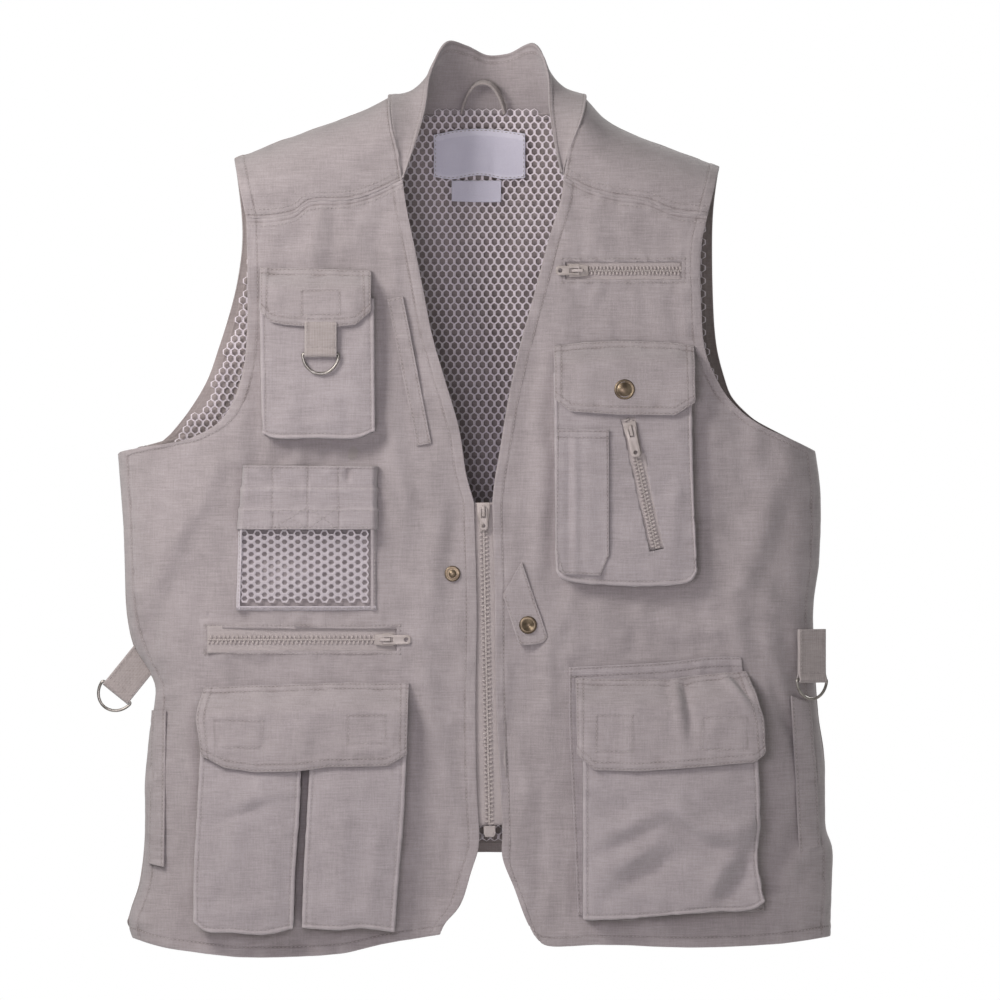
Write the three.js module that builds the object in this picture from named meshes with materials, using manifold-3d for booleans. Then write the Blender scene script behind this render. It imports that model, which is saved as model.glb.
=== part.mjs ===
// Fishing vest: a sleeveless zip-front vest with a mesh-lined back, pouch pockets, flaps, zips and tool rings.
//
// All sizes are millimetres. +Z is up, the fronts face -Y, and "right" and "left" are the wearer's.
// The garment is laid out in pattern coordinates: x = 0 at the front zip and z = 0 at the hem. A last group
// then moves the origin to the point where a hook bears under the hanger loop.

import * as THREE from "three";
import { mergeVertices } from "three/addons/utils/BufferGeometryUtils.js";
import Module from "manifold-3d";

const wasm = await Module();
wasm.setup();

// ---------------------------------------------------------------- driving dimensions
const FRONT_DEPTH = 42;         // how far the fronts stand before the side seams
const BACK_DEPTH = 34;          // how far the back stands behind them
const SIDE_ROUNDNESS = 8;       // exponent of the flattened tube: higher is boxier
const SHOULDER_RADIUS = 40;     // height over which front and back close at the shoulder
const NECK_RISE = 35;           // how far the closing line lifts across the neck
const NECK_HALF_WIDTH = 76;
const SHELL_CLOTH = 1.5;
const POCKET_CLOTH = 1.2;
const LINING_CLOTH = 0.8;
const SEAM_GAP = 0.3;           // half the gap between two shell pieces at a seam
const LAYER_GAP = 0.5;          // gap between a sewn-on layer and what it lies on
const CHEST_POUCH_DEPTH = 12;
const LOWER_POUCH_DEPTH = 16;
const MESH_POCKET_DEPTH = 8;
const FLAP_CLEARANCE = 2.9;     // from a pouch's front to its flap, with the hook tape between
const LINING_INSET = 5;         // from the back's cloth to the mesh lining
const SLIP_POCKET_LIFT = 4;
const ZIP_TOOTH_GAP = 1.2;      // the slot that a slider's web runs in
const ZIP_CHAIN_WIDTH = 7;
const ZIP_CHAIN_THICKNESS = 2.2;
const ZIP_TAPE_THICKNESS = 0.6;
const SLIDER_WIDTH = 10;
const SLIDER_LENGTH = 15;
const PULL_THICKNESS = 1.4;
const RING_WIRE_RADIUS = 1.15;
const RING_HALF_WIDTH = 14.1;
const RING_DROP = 15.5;
const TAB_WIDTH = 25;

// The hook point under the hanger loop, in pattern coordinates.
const HOOK_POINT = { x: -3, y: 24, z: 675 };

// Side silhouettes, hem to underarm, as [x, z].
const RIGHT_SIDE = [
  [-278, 8], [-281, 20], [-272, 51], [-268, 82], [-267, 129], [-264, 168],
  [-260, 206], [-275, 233], [-281, 257], [-285, 335], [-289, 388],
];
const LEFT_SIDE = [
  [269, 9], [270, 55], [270, 78], [265, 94], [264, 147], [259, 184],
  [255, 264], [260, 304], [261, 359], [257, 389],
];

// Shoulder lines, arm to neck.
const RIGHT_SHOULDER = [[-198, 618], [-160, 633], [-132, 643], [-99, 655], [-76, 667]];
const LEFT_SHOULDER = [[182, 612], [150, 624], [118, 636], [94, 648], [76, 667]];

// Armholes, underarm to shoulder.
const RIGHT_FRONT_ARMHOLE = [
  [-275, 391], [-251, 395], [-232, 399], [-211, 410], [-200, 424], [-192, 445], [-188, 468], [-187, 526], [-188, 571],
];
const LEFT_FRONT_ARMHOLE = [
  [240, 397], [214, 409], [201, 418], [189, 430], [181, 442], [171, 465], [167, 500], [167, 549], [172, 573],
];
const RIGHT_BACK_ARMHOLE = [
  [-258, 395], [-249, 400], [-232, 419], [-216, 445], [-207, 470], [-200, 496], [-193, 524], [-190, 560], [-198, 618],
];
const LEFT_BACK_ARMHOLE = [
  [240, 398], [214, 410], [201, 419], [189, 431], [183, 448], [177, 472], [174, 512], [175, 575], [182, 612],
];

// Front edges, hem to neck.
const RIGHT_FRONT_EDGE = [
  [-37, 12], [-33, 20], [-21, 35], [-12, 62], [-7, 78], [-6, 90], [-8, 125], [-9, 195], [-8, 265], [-10, 349],
  [-16, 370], [-22, 407], [-33, 445], [-43, 480], [-50, 515], [-57, 550], [-63, 580], [-66, 601],
];
const LEFT_FRONT_EDGE = [
  [37, 12], [31, 23], [22, 47], [12, 72], [12, 90], [11, 125], [7, 195], [6, 289], [4, 349],
  [6, 367], [10, 390], [17, 432], [26, 472], [38, 516], [48, 554], [58, 587], [60, 603],
];

// Yoke seams, arm to neck, and hems, side to front edge.
const RIGHT_YOKE_SEAM = [[-188, 571], [-169, 571], [-150, 575], [-139, 583], [-108, 585], [-90, 590], [-66, 601]];
const LEFT_YOKE_SEAM = [[172, 573], [146, 576], [125, 584], [99, 588], [80, 593], [60, 603]];
const RIGHT_HEM = [[-278, 8], [-255, 2], [-213, -4], [-182, -6], [-116, -3], [-79, 5], [-37, 12]];
const LEFT_HEM = [[269, 9], [221, 4], [166, 2], [88, 4], [45, 4], [37, 12]];
const BACK_HEM = [[-279, 14], [-180, 42], [-90, 66], [5, 73], [100, 64], [180, 42], [269, 14]];

// Neck seam and top edge of the collar, from its right front point round the back to its left one.
const COLLAR_SEAM_FRONT = [[-64, 605], [-68, 622], [-72, 644], [-73, 660]];
const COLLAR_SEAM_LEFT = [[73, 660], [71, 647], [63, 625], [58.5, 608]];
const BACK_NECK = [[-76, 667], [-66, 660], [-48, 656], [0, 655], [48, 656], [66, 660], [76, 667]];
const COLLAR_TOP = [
  [-60, 605, -41], [-56, 622, -40], [-48, 660, -30], [-42, 687, -14], [-31, 707, 4], [-16, 706, 18],
  [0, 701, 27], [16, 701, 26], [38, 707, 6], [45, 687, -12], [48, 657, -28], [53, 625, -38], [56, 608, -40],
];

const CLOTH_COLOUR = 0xa89e93;
const POCKET_COLOUR = 0xb0a6a8;
const MESH_COLOUR = 0x8f8794;
const TAPE_COLOUR = 0x9c9188;
const TEETH_COLOUR = 0x8d8278;
const BRASS_COLOUR = 0x7d684e;
const DARK_METAL_COLOUR = 0x4f4a44;
const PAINTED_METAL_COLOUR = 0xa0958c;
const LABEL_COLOUR = 0xc9c3d3;
const HOOK_TAPE_COLOUR = 0x8a8079;

// ---------------------------------------------------------------- the closed tube that the shell follows
function interpolate(points, at, key, value) {
  // Straight-line interpolation in a table that rises in its key column, held at both ends.
  if (at <= points[0][key]) {
    return points[0][value];
  }
  for (let i = 1; i < points.length; i += 1) {
    const low = points[i - 1];
    const high = points[i];
    if (at <= high[key]) {
      const share = (at - low[key]) / (high[key] - low[key]);
      return low[value] + share * (high[value] - low[value]);
    }
  }
  return points[points.length - 1][value];
}

function closingHeight(x) {
  // Height at which front and back meet: the shoulder lines, lifted across the neck.
  if (Math.abs(x) < NECK_HALF_WIDTH) {
    return 667 + NECK_RISE * (1 - (x / NECK_HALF_WIDTH) ** 2);
  }
  if (x < 0) {
    return interpolate(RIGHT_SHOULDER, x, 0, 1);
  }
  return interpolate([...LEFT_SHOULDER].reverse(), x, 0, 1);
}

function fullness(x, z) {
  // 1 where the tube is at its full depth, falling to 0 at the side seams and the shoulder lines.
  const side = x < 0 ? RIGHT_SIDE : LEFT_SIDE;
  const reach = Math.min(1, Math.abs(x / interpolate(side, z, 1, 0)));
  const across = Math.sqrt(1 - reach ** SIDE_ROUNDNESS);
  const below = THREE.MathUtils.clamp((closingHeight(x) - z) / SHOULDER_RADIUS, 0, 1);
  const up = Math.sqrt(1 - (1 - below) ** 2);
  return across * up;
}

function frontPoint(x, z, out = 0) {
  // A point of the fronts' middle surface, moved out along the surface's normal.
  const y = Math.min(-SEAM_GAP, -FRONT_DEPTH * fullness(x, z));
  if (out === 0) {
    return new THREE.Vector3(x, y, z);
  }
  const step = 2;
  const slopeX = (FRONT_DEPTH * (fullness(x + step, z) - fullness(x - step, z))) / (2 * step);
  const normal = new THREE.Vector3(-slopeX, -1, 0).normalize();
  return new THREE.Vector3(x, y, z).addScaledVector(normal, out);
}

function backPoint(x, z, inward = 0) {
  // A point of the back's middle surface, moved inward towards the wearer.
  const y = Math.max(SEAM_GAP, BACK_DEPTH * fullness(x, z) - inward);
  return new THREE.Vector3(x, y, z);
}

// ---------------------------------------------------------------- outlines and cloth patches
function path(points) {
  // A polyline as a function of the share of its length, with the shares at which its corners lie.
  const reach = [0];
  for (let i = 1; i < points.length; i += 1) {
    const [x0, z0, y0 = 0] = points[i - 1];
    const [x1, z1, y1 = 0] = points[i];
    reach.push(reach[i - 1] + Math.hypot(x1 - x0, z1 - z0, y1 - y0));
  }
  const length = reach[reach.length - 1];
  const stops = reach.map((distance) => distance / length);
  const at = (share) => {
    const distance = THREE.MathUtils.clamp(share, 0, 1) * length;
    let i = 1;
    while (i < points.length - 1 && reach[i] < distance) {
      i += 1;
    }
    const part = (distance - reach[i - 1]) / (reach[i] - reach[i - 1]);
    return points[i - 1].map((low, axis) => low + part * (points[i][axis] - low));
  };
  return { at, stops };
}

function spread(count, stops = [], extra = []) {
  // Even stations from 0 to 1, the nearest ones moved onto the stops, with extra stations added.
  const stations = Array.from({ length: count + 1 }, (_, i) => i / count);
  for (const stop of stops) {
    if (stop > 0.001 && stop < 0.999) {
      let nearest = 1;
      for (let i = 1; i < count; i += 1) {
        if (Math.abs(stations[i] - stop) < Math.abs(stations[nearest] - stop)) {
          nearest = i;
        }
      }
      stations[nearest] = stop;
    }
  }
  const all = [...new Set([...stations, ...extra])].sort((a, b) => a - b);
  return all.filter((value, i) => i === 0 || value === 1 || value - all[i - 1] > 0.004);
}

function patch(edges, uStations, vStations, place) {
  // A Coons patch between four edge polylines, each point placed in space by place(x, z, u, v).
  const left = path(edges.left);
  const right = path(edges.right);
  const bottom = path(edges.bottom);
  const top = path(edges.top);
  const corners = [bottom.at(0), bottom.at(1), top.at(0), top.at(1)];
  return vStations.map((v) => uStations.map((u) => {
    const sides = [left.at(v), right.at(v), bottom.at(u), top.at(u)];
    const mixed = sides[0].map((_, axis) => {
      const ruled = (1 - u) * sides[0][axis] + u * sides[1][axis] + (1 - v) * sides[2][axis] + v * sides[3][axis];
      const low = (1 - u) * corners[0][axis] + u * corners[1][axis];
      const high = (1 - u) * corners[2][axis] + u * corners[3][axis];
      return ruled - (1 - v) * low - v * high;
    });
    return place(...mixed, u, v);
  }));
}

function gridNormal(grid, row, column) {
  const rows = grid.length - 1;
  const columns = grid[0].length - 1;
  const across = grid[row][Math.min(column + 1, columns)].clone().sub(grid[row][Math.max(column - 1, 0)]);
  const along = grid[Math.min(row + 1, rows)][column].clone().sub(grid[Math.max(row - 1, 0)][column]);
  return across.cross(along).normalize();
}

function closedGeometry(positions, indices) {
  // A geometry with its faces turned outward, whichever way they were listed.
  let volume = 0;
  const corner = (index) => new THREE.Vector3().fromArray(positions, 3 * index);
  for (let i = 0; i < indices.length; i += 3) {
    volume += corner(indices[i]).dot(corner(indices[i + 1]).cross(corner(indices[i + 2])));
  }
  const outward = volume > 0 ? indices : [...indices].reverse();
  const geometry = new THREE.BufferGeometry();
  geometry.setAttribute("position", new THREE.Float32BufferAttribute(positions, 3));
  geometry.setIndex(outward);
  return geometry;
}

function clothFromGrid(grid, thickness) {
  // A closed sheet of cloth whose middle surface is the grid.
  const rows = grid.length;
  const columns = grid[0].length;
  const positions = [];
  for (const side of [0.5, -0.5]) {
    for (let row = 0; row < rows; row += 1) {
      for (let column = 0; column < columns; column += 1) {
        const normal = gridNormal(grid, row, column);
        positions.push(...grid[row][column].clone().addScaledVector(normal, side * thickness).toArray());
      }
    }
  }
  const at = (side, row, column) => side * rows * columns + row * columns + column;
  const indices = [];
  const quad = (a, b, c, d) => indices.push(a, b, c, a, c, d);
  for (let row = 0; row < rows - 1; row += 1) {
    for (let column = 0; column < columns - 1; column += 1) {
      quad(at(0, row, column), at(0, row, column + 1), at(0, row + 1, column + 1), at(0, row + 1, column));
      quad(at(1, row, column), at(1, row + 1, column), at(1, row + 1, column + 1), at(1, row, column + 1));
    }
  }
  for (let column = 0; column < columns - 1; column += 1) {
    quad(at(0, 0, column), at(1, 0, column), at(1, 0, column + 1), at(0, 0, column + 1));
    quad(at(0, rows - 1, column), at(0, rows - 1, column + 1), at(1, rows - 1, column + 1), at(1, rows - 1, column));
  }
  for (let row = 0; row < rows - 1; row += 1) {
    quad(at(0, row, 0), at(0, row + 1, 0), at(1, row + 1, 0), at(1, row, 0));
    quad(at(0, row, columns - 1), at(1, row, columns - 1), at(1, row + 1, columns - 1), at(0, row + 1, columns - 1));
  }
  return closedGeometry(positions, indices);
}

// ---------------------------------------------------------------- solids
function solid(geometry) {
  const bare = geometry.clone();
  bare.deleteAttribute("normal");
  bare.deleteAttribute("uv");
  const merged = mergeVertices(bare, 1e-4);
  return new wasm.Manifold(new wasm.Mesh({
    numProp: 3,
    vertProperties: new Float32Array(merged.attributes.position.array),
    triVerts: new Uint32Array(merged.index.array),
  }));
}

function geometryOf(body) {
  const mesh = body.getMesh();
  const geometry = new THREE.BufferGeometry();
  geometry.setAttribute("position", new THREE.BufferAttribute(mesh.vertProperties, 3));
  geometry.setIndex(new THREE.BufferAttribute(mesh.triVerts, 1));
  return geometry;
}

function slab(outline, front, back) {
  // An [x, z] outline made solid from y = front to y = back.
  const shape = new THREE.Shape(outline.map(([x, z]) => new THREE.Vector2(x, z)));
  const geometry = new THREE.ExtrudeGeometry(shape, { depth: back - front, bevelEnabled: false });
  return geometry.rotateX(Math.PI / 2).translate(0, back, 0);
}

function block(x0, x1, y0, y1, z0, z1) {
  const geometry = new THREE.BoxGeometry(x1 - x0, y1 - y0, z1 - z0);
  return geometry.translate((x0 + x1) / 2, (y0 + y1) / 2, (z0 + z1) / 2);
}

function joined(first, ...others) {
  return geometryOf(others.reduce((body, other) => body.add(solid(other)), solid(first)));
}

function cut(first, ...others) {
  return geometryOf(others.reduce((body, other) => body.subtract(solid(other)), solid(first)));
}

function disc(radius, height, sides = 20) {
  // A flat disc whose back lies on y = 0 and whose front is at y = -height.
  return new THREE.CylinderGeometry(radius, radius, height, sides).translate(0, -height / 2, 0);
}

function dome(radius, height) {
  // A snap's domed cap: a rolled rim round a shallow crown, turned about the Y axis.
  const profile = [
    [0, 0], [radius, 0], [radius, 0.45 * height], [0.9 * radius, 0.8 * height],
    [0.72 * radius, 0.7 * height], [0.45 * radius, 0.93 * height], [0, height],
  ];
  const points = profile.map(([r, h]) => new THREE.Vector2(r, h));
  return new THREE.LatheGeometry(points, 24).rotateX(Math.PI);
}

function wireLoop(points, radius, sides = 8) {
  // A round wire bent round a closed loop of [x, z] points in the plane y = 0.
  const positions = [];
  const indices = [];
  const count = points.length;
  points.forEach(([x, z], i) => {
    const [x0, z0] = points[(i + count - 1) % count];
    const [x1, z1] = points[(i + 1) % count];
    const before = new THREE.Vector2(x - x0, z - z0).normalize();
    const after = new THREE.Vector2(x1 - x, z1 - z).normalize();
    const tangent = before.clone().add(after).normalize();
    const mitre = Math.min(1.45, 1 / tangent.dot(after));
    for (let side = 0; side < sides; side += 1) {
      const angle = (2 * Math.PI * side) / sides;
      const across = radius * mitre * Math.cos(angle);
      positions.push(x - tangent.y * across, radius * Math.sin(angle), z + tangent.x * across);
      const next = (i + 1) % count;
      const turn = (side + 1) % sides;
      indices.push(i * sides + side, next * sides + side, next * sides + turn);
      indices.push(i * sides + side, next * sides + turn, i * sides + turn);
    }
  });
  return closedGeometry(positions, indices);
}

// ---------------------------------------------------------------- the scene graph
const vest = new THREE.Group();
const pattern = new THREE.Group();
pattern.position.set(-HOOK_POINT.x, -HOOK_POINT.y, -HOOK_POINT.z);
vest.add(pattern);

function finish(colour, roughness = 0.9, metalness = 0) {
  return new THREE.MeshStandardMaterial({ color: colour, roughness, metalness });
}

function add(name, geometry, material, parent = pattern) {
  const mesh = new THREE.Mesh(geometry, material);
  mesh.name = name;
  parent.add(mesh);
  return mesh;
}

function moved(points, dx, dz) {
  return points.map(([x, z]) => [x + dx, z + dz]);
}

function rectangle(x0, x1, z0, z1) {
  return [[x0, z0], [x1, z0], [x1, z1], [x0, z1]];
}

// ---------------------------------------------------------------- shell
const SIDE_STATIONS = [0, 0.015, 0.045, 0.1, 0.2, 0.36, 0.55, 0.78, 1];
const YOKE_ROWS = [0, 0.3, 0.55, 0.78, 0.93, 1];
const HIP_ZIP_WINDOW = { x0: -219, x1: -69, z0: 232, z1: 252 };
const CHEST_ZIP_WINDOW = { x0: 60, x1: 153, z0: 522, z1: 538 };

function windowCutter({ x0, x1, z0, z1 }) {
  return block(x0, x1, -FRONT_DEPTH - 10, -FRONT_DEPTH + 12, z0, z1);
}

function addFront(name, side, armhole, frontEdge, yokeSeam, hem, zipWindow) {
  const edges = {
    left: [...side, ...armhole],
    right: frontEdge,
    bottom: hem,
    top: moved(yokeSeam, 0, -SEAM_GAP),
  };
  edges.left[edges.left.length - 1] = edges.top[0];
  edges.right = [...frontEdge.slice(0, -1), edges.top[edges.top.length - 1]];
  const grid = patch(edges, SIDE_STATIONS, spread(15, path(edges.left).stops), (x, z) => frontPoint(x, z));
  add(name, cut(clothFromGrid(grid, SHELL_CLOTH), windowCutter(zipWindow)), finish(CLOTH_COLOUR));
}

function addYoke(name, yokeSeam, shoulder, collarSeam, armTip) {
  const edges = {
    bottom: moved(yokeSeam, 0, SEAM_GAP),
    top: shoulder,
    left: [armTip, shoulder[0]],
    right: collarSeam,
  };
  edges.left[0] = edges.bottom[0];
  edges.right = [edges.bottom[edges.bottom.length - 1], ...collarSeam, shoulder[shoulder.length - 1]];
  const grid = patch(edges, SIDE_STATIONS, YOKE_ROWS, (x, z) => frontPoint(x, z));
  add(name, clothFromGrid(grid, SHELL_CLOTH), finish(CLOTH_COLOUR));
}

function addBack() {
  const half = [0, 0.01, 0.035, 0.09, 0.18, 0.29, 0.37, 0.41, 0.45];
  const columns = [...half, 0.5, ...half.map((u) => 1 - u).reverse()];
  const neckRight = BACK_NECK[0];
  const neckLeft = BACK_NECK[BACK_NECK.length - 1];
  const edges = {
    left: [BACK_HEM[0], ...RIGHT_SIDE.slice(1), ...RIGHT_BACK_ARMHOLE],
    right: [BACK_HEM[BACK_HEM.length - 1], ...LEFT_SIDE.slice(1), ...LEFT_BACK_ARMHOLE],
    bottom: BACK_HEM,
    top: [...RIGHT_SHOULDER.slice(0, -1), neckRight, ...BACK_NECK.slice(1, -1), neckLeft, ...[...LEFT_SHOULDER].reverse().slice(1)],
  };
  const { stops } = path(edges.left);
  const waist = stops[edges.left.findIndex(([x]) => x === -260)];
  const underarm = stops[RIGHT_SIDE.length - 1];
  const rows = [...spread(13, [waist, underarm]).filter((v) => v < 0.92), 0.945, 0.97, 0.987, 1];
  const grid = patch(edges, columns, rows, (x, z) => backPoint(x, z));
  add("back_panel", clothFromGrid(grid, SHELL_CLOTH), finish(CLOTH_COLOUR));
}

function addLining() {
  // The mesh lining hangs just inside the back, a little smaller all round.
  const inset = 5;
  const edges = {
    left: [[-248, 24], [-244, 206], [-256, 372], [-240, 400], [-222, 424], [-202, 470], [-188, 524], [-186, 586]],
    right: [[240, 24], [236, 184], [236, 375], [214, 404], [180, 448], [170, 512], [172, 580]],
    bottom: moved(BACK_HEM, 0, inset).map(([x, z]) => [0.89 * x, z]),
    top: [[-186, 586], [-128, 617], [-84, 636], [-55, 649], [55, 649], [84, 634], [116, 609], [172, 580]],
  };
  edges.left[0] = edges.bottom[0];
  edges.right[0] = edges.bottom[edges.bottom.length - 1];
  const grid = patch(edges, spread(10), spread(10), (x, z) => backPoint(x, z, LINING_INSET));
  add("back_mesh_lining", clothFromGrid(grid, LINING_CLOTH), finish(MESH_COLOUR, 0.8));
}

function addCollar() {
  const seam = [
    ...COLLAR_SEAM_FRONT.map(([x, z]) => [x, z, frontPoint(x - 2, z).y]),
    [-74, 668.5, 0],
    [-63, 663, 22], [-46, 659, 31], [0, 657.5, BACK_DEPTH - 1], [46, 659, 31], [63, 663, 22],
    [74, 668.5, 0],
    ...COLLAR_SEAM_LEFT.map(([x, z]) => [x, z, frontPoint(x + 2, z).y]),
  ];
  const edges = {
    bottom: seam,
    top: COLLAR_TOP,
    left: [seam[0], COLLAR_TOP[0]],
    right: [seam[seam.length - 1], COLLAR_TOP[COLLAR_TOP.length - 1]],
  };
  const grid = patch(edges, spread(20, path(seam).stops), spread(3), (x, z, y) => new THREE.Vector3(x, y, z));
  add("collar", clothFromGrid(grid, SHELL_CLOTH), finish(CLOTH_COLOUR));
}

function addShell() {
  addBack();
  addLining();
  addFront("right_front_panel", RIGHT_SIDE, RIGHT_FRONT_ARMHOLE, RIGHT_FRONT_EDGE, RIGHT_YOKE_SEAM, RIGHT_HEM, HIP_ZIP_WINDOW);
  addFront("left_front_panel", LEFT_SIDE, LEFT_FRONT_ARMHOLE, LEFT_FRONT_EDGE, LEFT_YOKE_SEAM, LEFT_HEM, CHEST_ZIP_WINDOW);
  addYoke("right_shoulder_yoke", RIGHT_YOKE_SEAM, RIGHT_SHOULDER, moved(COLLAR_SEAM_FRONT, -3, 0).slice(1), [-188, 571]);
  addYoke("left_shoulder_yoke", LEFT_YOKE_SEAM, LEFT_SHOULDER, moved(COLLAR_SEAM_LEFT, 1.6, 0).reverse().slice(1), [172, 573]);
  addCollar();
}

// ---------------------------------------------------------------- neck: hanger loop and labels
function addNeckPieces() {
  const loop = new THREE.Shape();
  loop.moveTo(-14.5, -19);
  loop.lineTo(-14.5, -6);
  loop.absellipse(0, -6, 14.5, 9, Math.PI, 0, true);
  loop.lineTo(14.5, -19);
  loop.lineTo(12, -19);
  loop.lineTo(12, -6);
  loop.absellipse(0, -6, 12, 6, 0, Math.PI, false);
  loop.lineTo(-12, -19);
  const strip = new THREE.ExtrudeGeometry(loop, { depth: 3, bevelEnabled: false, curveSegments: 10 });
  strip.rotateX(Math.PI / 2).translate(0, 1.5, 0).rotateX(THREE.MathUtils.degToRad(17));
  strip.translate(HOOK_POINT.x, HOOK_POINT.y - 2, HOOK_POINT.z);
  add("hanger_loop", strip, finish(TAPE_COLOUR));

  const labelFace = BACK_DEPTH - LINING_INSET - LINING_CLOTH / 2 - LAYER_GAP;
  const label = [[-42, 606], [-28, 604], [-6, 607], [14, 604], [30, 605], [30, 640], [-6, 643], [-42, 639]];
  add("neck_label", slab(label, labelFace - 0.8, labelFace), finish(LABEL_COLOUR, 0.7));
  add("care_label", slab(rectangle(-28, 11, 586, 603), labelFace - 0.6, labelFace), finish(LABEL_COLOUR, 0.7));
}

// ---------------------------------------------------------------- zips
// A zip is built along its own -Z from its slider end, with its teeth's middle plane at y = 0.
function zipGroup(x, y, z, turn) {
  const group = new THREE.Group();
  group.position.set(x, y, z);
  group.rotation.y = turn;
  pattern.add(group);
  return group;
}

function toothBar(side, length) {
  const inner = side * (ZIP_TOOTH_GAP / 2);
  const outer = side * (ZIP_CHAIN_WIDTH / 2);
  const half = ZIP_CHAIN_THICKNESS / 2;
  return block(Math.min(inner, outer), Math.max(inner, outer), -half, half, -length, 0);
}

function sliderBody() {
  // Two plates joined by the web that runs between the teeth, with a bridge for the pull on the front.
  const face = ZIP_CHAIN_THICKNESS / 2 + 0.3;
  const half = SLIDER_WIDTH / 2;
  const outline = [
    [-half, 0], [half, 0], [half, -0.45 * SLIDER_LENGTH], [0.78 * half, -SLIDER_LENGTH],
    [-0.78 * half, -SLIDER_LENGTH], [-half, -0.45 * SLIDER_LENGTH],
  ];
  const front = slab(outline, -face - 1.3, -face);
  const back = slab(outline, face, face + 1.1);
  const web = block(-0.3, 0.3, -face - 0.5, face + 0.5, -SLIDER_LENGTH, 0);
  const bridge = cut(
    block(-1.2, 1.2, -face - 4.4, -face - 0.5, -11, -2.5),
    block(-2, 2, -face - 3.4, -face - 1.3, -8.6, -3.9),
  );
  return joined(front, back, web, bridge);
}

function pullTab(length, width, away) {
  // The tab hangs in the slider's bridge. away = true points it off the end of the chain.
  const face = ZIP_CHAIN_THICKNESS / 2 + 0.3 + 1.3 + 0.35;
  const outline = [
    [-0.5 * width, 1.6], [0.5 * width, 1.6], [0.5 * width, -length + 2], [0.3 * width, -length],
    [-0.3 * width, -length], [-0.5 * width, -length + 2],
  ];
  const tab = slab(outline, -face - PULL_THICKNESS, -face);
  const eye = block(-1.75, 1.75, -20, 20, -6.2, 0.5);
  const hole = new THREE.CylinderGeometry(0.22 * width, 0.22 * width, 20, 12).translate(0, 0, -length + 3.5);
  const shaped = cut(tab, eye, hole);
  if (away) {
    shaped.rotateY(Math.PI);
  }
  return shaped.translate(0, 0, away ? -6.7 : -5.8);
}

function tapeFrame(length, width) {
  // Both tapes and both tooth rows of a pocket zip, joined at the ends, with the slider's slot between.
  const half = ZIP_TAPE_THICKNESS / 2;
  const end = 3;
  const tape = block(-width / 2, width / 2, -half, half, -length, 0);
  const teeth = block(
    -ZIP_CHAIN_WIDTH / 2, ZIP_CHAIN_WIDTH / 2, -ZIP_CHAIN_THICKNESS / 2, ZIP_CHAIN_THICKNESS / 2, -length + end - 1, -end + 1,
  );
  const slot = block(-ZIP_TOOTH_GAP / 2, ZIP_TOOTH_GAP / 2, -10, 10, -length + end, -end);
  return cut(joined(tape, teeth), slot);
}

function addMainZip() {
  // The front zip runs from its slider at the top down to the box, behind the front edges.
  const lean = Math.atan2(5, 255);
  const plane = -FRONT_DEPTH + SHELL_CLOTH / 2 + SEAM_GAP + ZIP_TAPE_THICKNESS / 2;
  const length = 252;
  const zip = zipGroup(-3, plane, 349, -lean);
  const teeth = finish(TEETH_COLOUR, 0.6);
  add("main_zip_teeth_right", toothBar(-1, length), teeth, zip);
  add("main_zip_teeth_left", toothBar(1, length), teeth.clone(), zip);
  const half = ZIP_TAPE_THICKNESS / 2;
  const inner = ZIP_CHAIN_WIDTH / 2 + 0.3;
  add("main_zip_tape_right", block(-inner - 9.5, -inner, -half, half, -length, 0), finish(TAPE_COLOUR), zip);
  add("main_zip_tape_left", block(inner, inner + 9.5, -half, half, -length, 0), finish(TAPE_COLOUR), zip);
  const box = cut(
    slab([[-4.6, 0], [4.6, 0], [4.6, -6], [3.4, -8.5], [-3.4, -8.5], [-4.6, -6]], -2.2, 1.8),
    block(-3.4, -0.8, -0.5, 0.5, -5, 1),
  );
  add("main_zip_box", box.translate(0, 0, -length - 0.5), finish(TEETH_COLOUR, 0.5), zip);
  add("main_zip_slider", sliderBody(), finish(PAINTED_METAL_COLOUR, 0.5, 0.3), zip);
  add("main_zip_pull", pullTab(16, 6.5, false), finish(PAINTED_METAL_COLOUR, 0.5, 0.3), zip);
}

function addPocketZip(name, x, y, z, turn, length, width, away, pullLength, sliderStart) {
  const zip = zipGroup(x, y, z, turn);
  add(`${name}_zip_chain`, tapeFrame(length, width), finish(TAPE_COLOUR, 0.8), zip);
  const slider = sliderBody().translate(0, 0, -sliderStart);
  add(`${name}_zip_slider`, slider, finish(PAINTED_METAL_COLOUR, 0.5, 0.3), zip);
  const pull = pullTab(pullLength, 7.5, away).translate(0, 0, -sliderStart);
  add(`${name}_zip_pull`, pull, finish(PAINTED_METAL_COLOUR, 0.5, 0.3), zip);
}

const HIP_BAG = [[-200, 96], [-66, 96], [-66, 258], [-220, 258], [-220, 230], [-200, 215]];

function addZips() {
  addMainZip();
  addPocketZip("hip", -69.5, -41, 242, Math.PI / 2, 149, 19, true, 20, 3.4);
  addPocketZip("left_chest", 60.5, -42, 530, -Math.PI / 2, 92, 15, true, 17, 3.4);
  const bag = finish(POCKET_COLOUR);
  add("hip_zip_bag", slab(HIP_BAG, -36.8, -36), bag);
  add("left_chest_zip_bag", slab(rectangle(57, 156, 402, 543), -38.6, -37.8), bag.clone());
}

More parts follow.
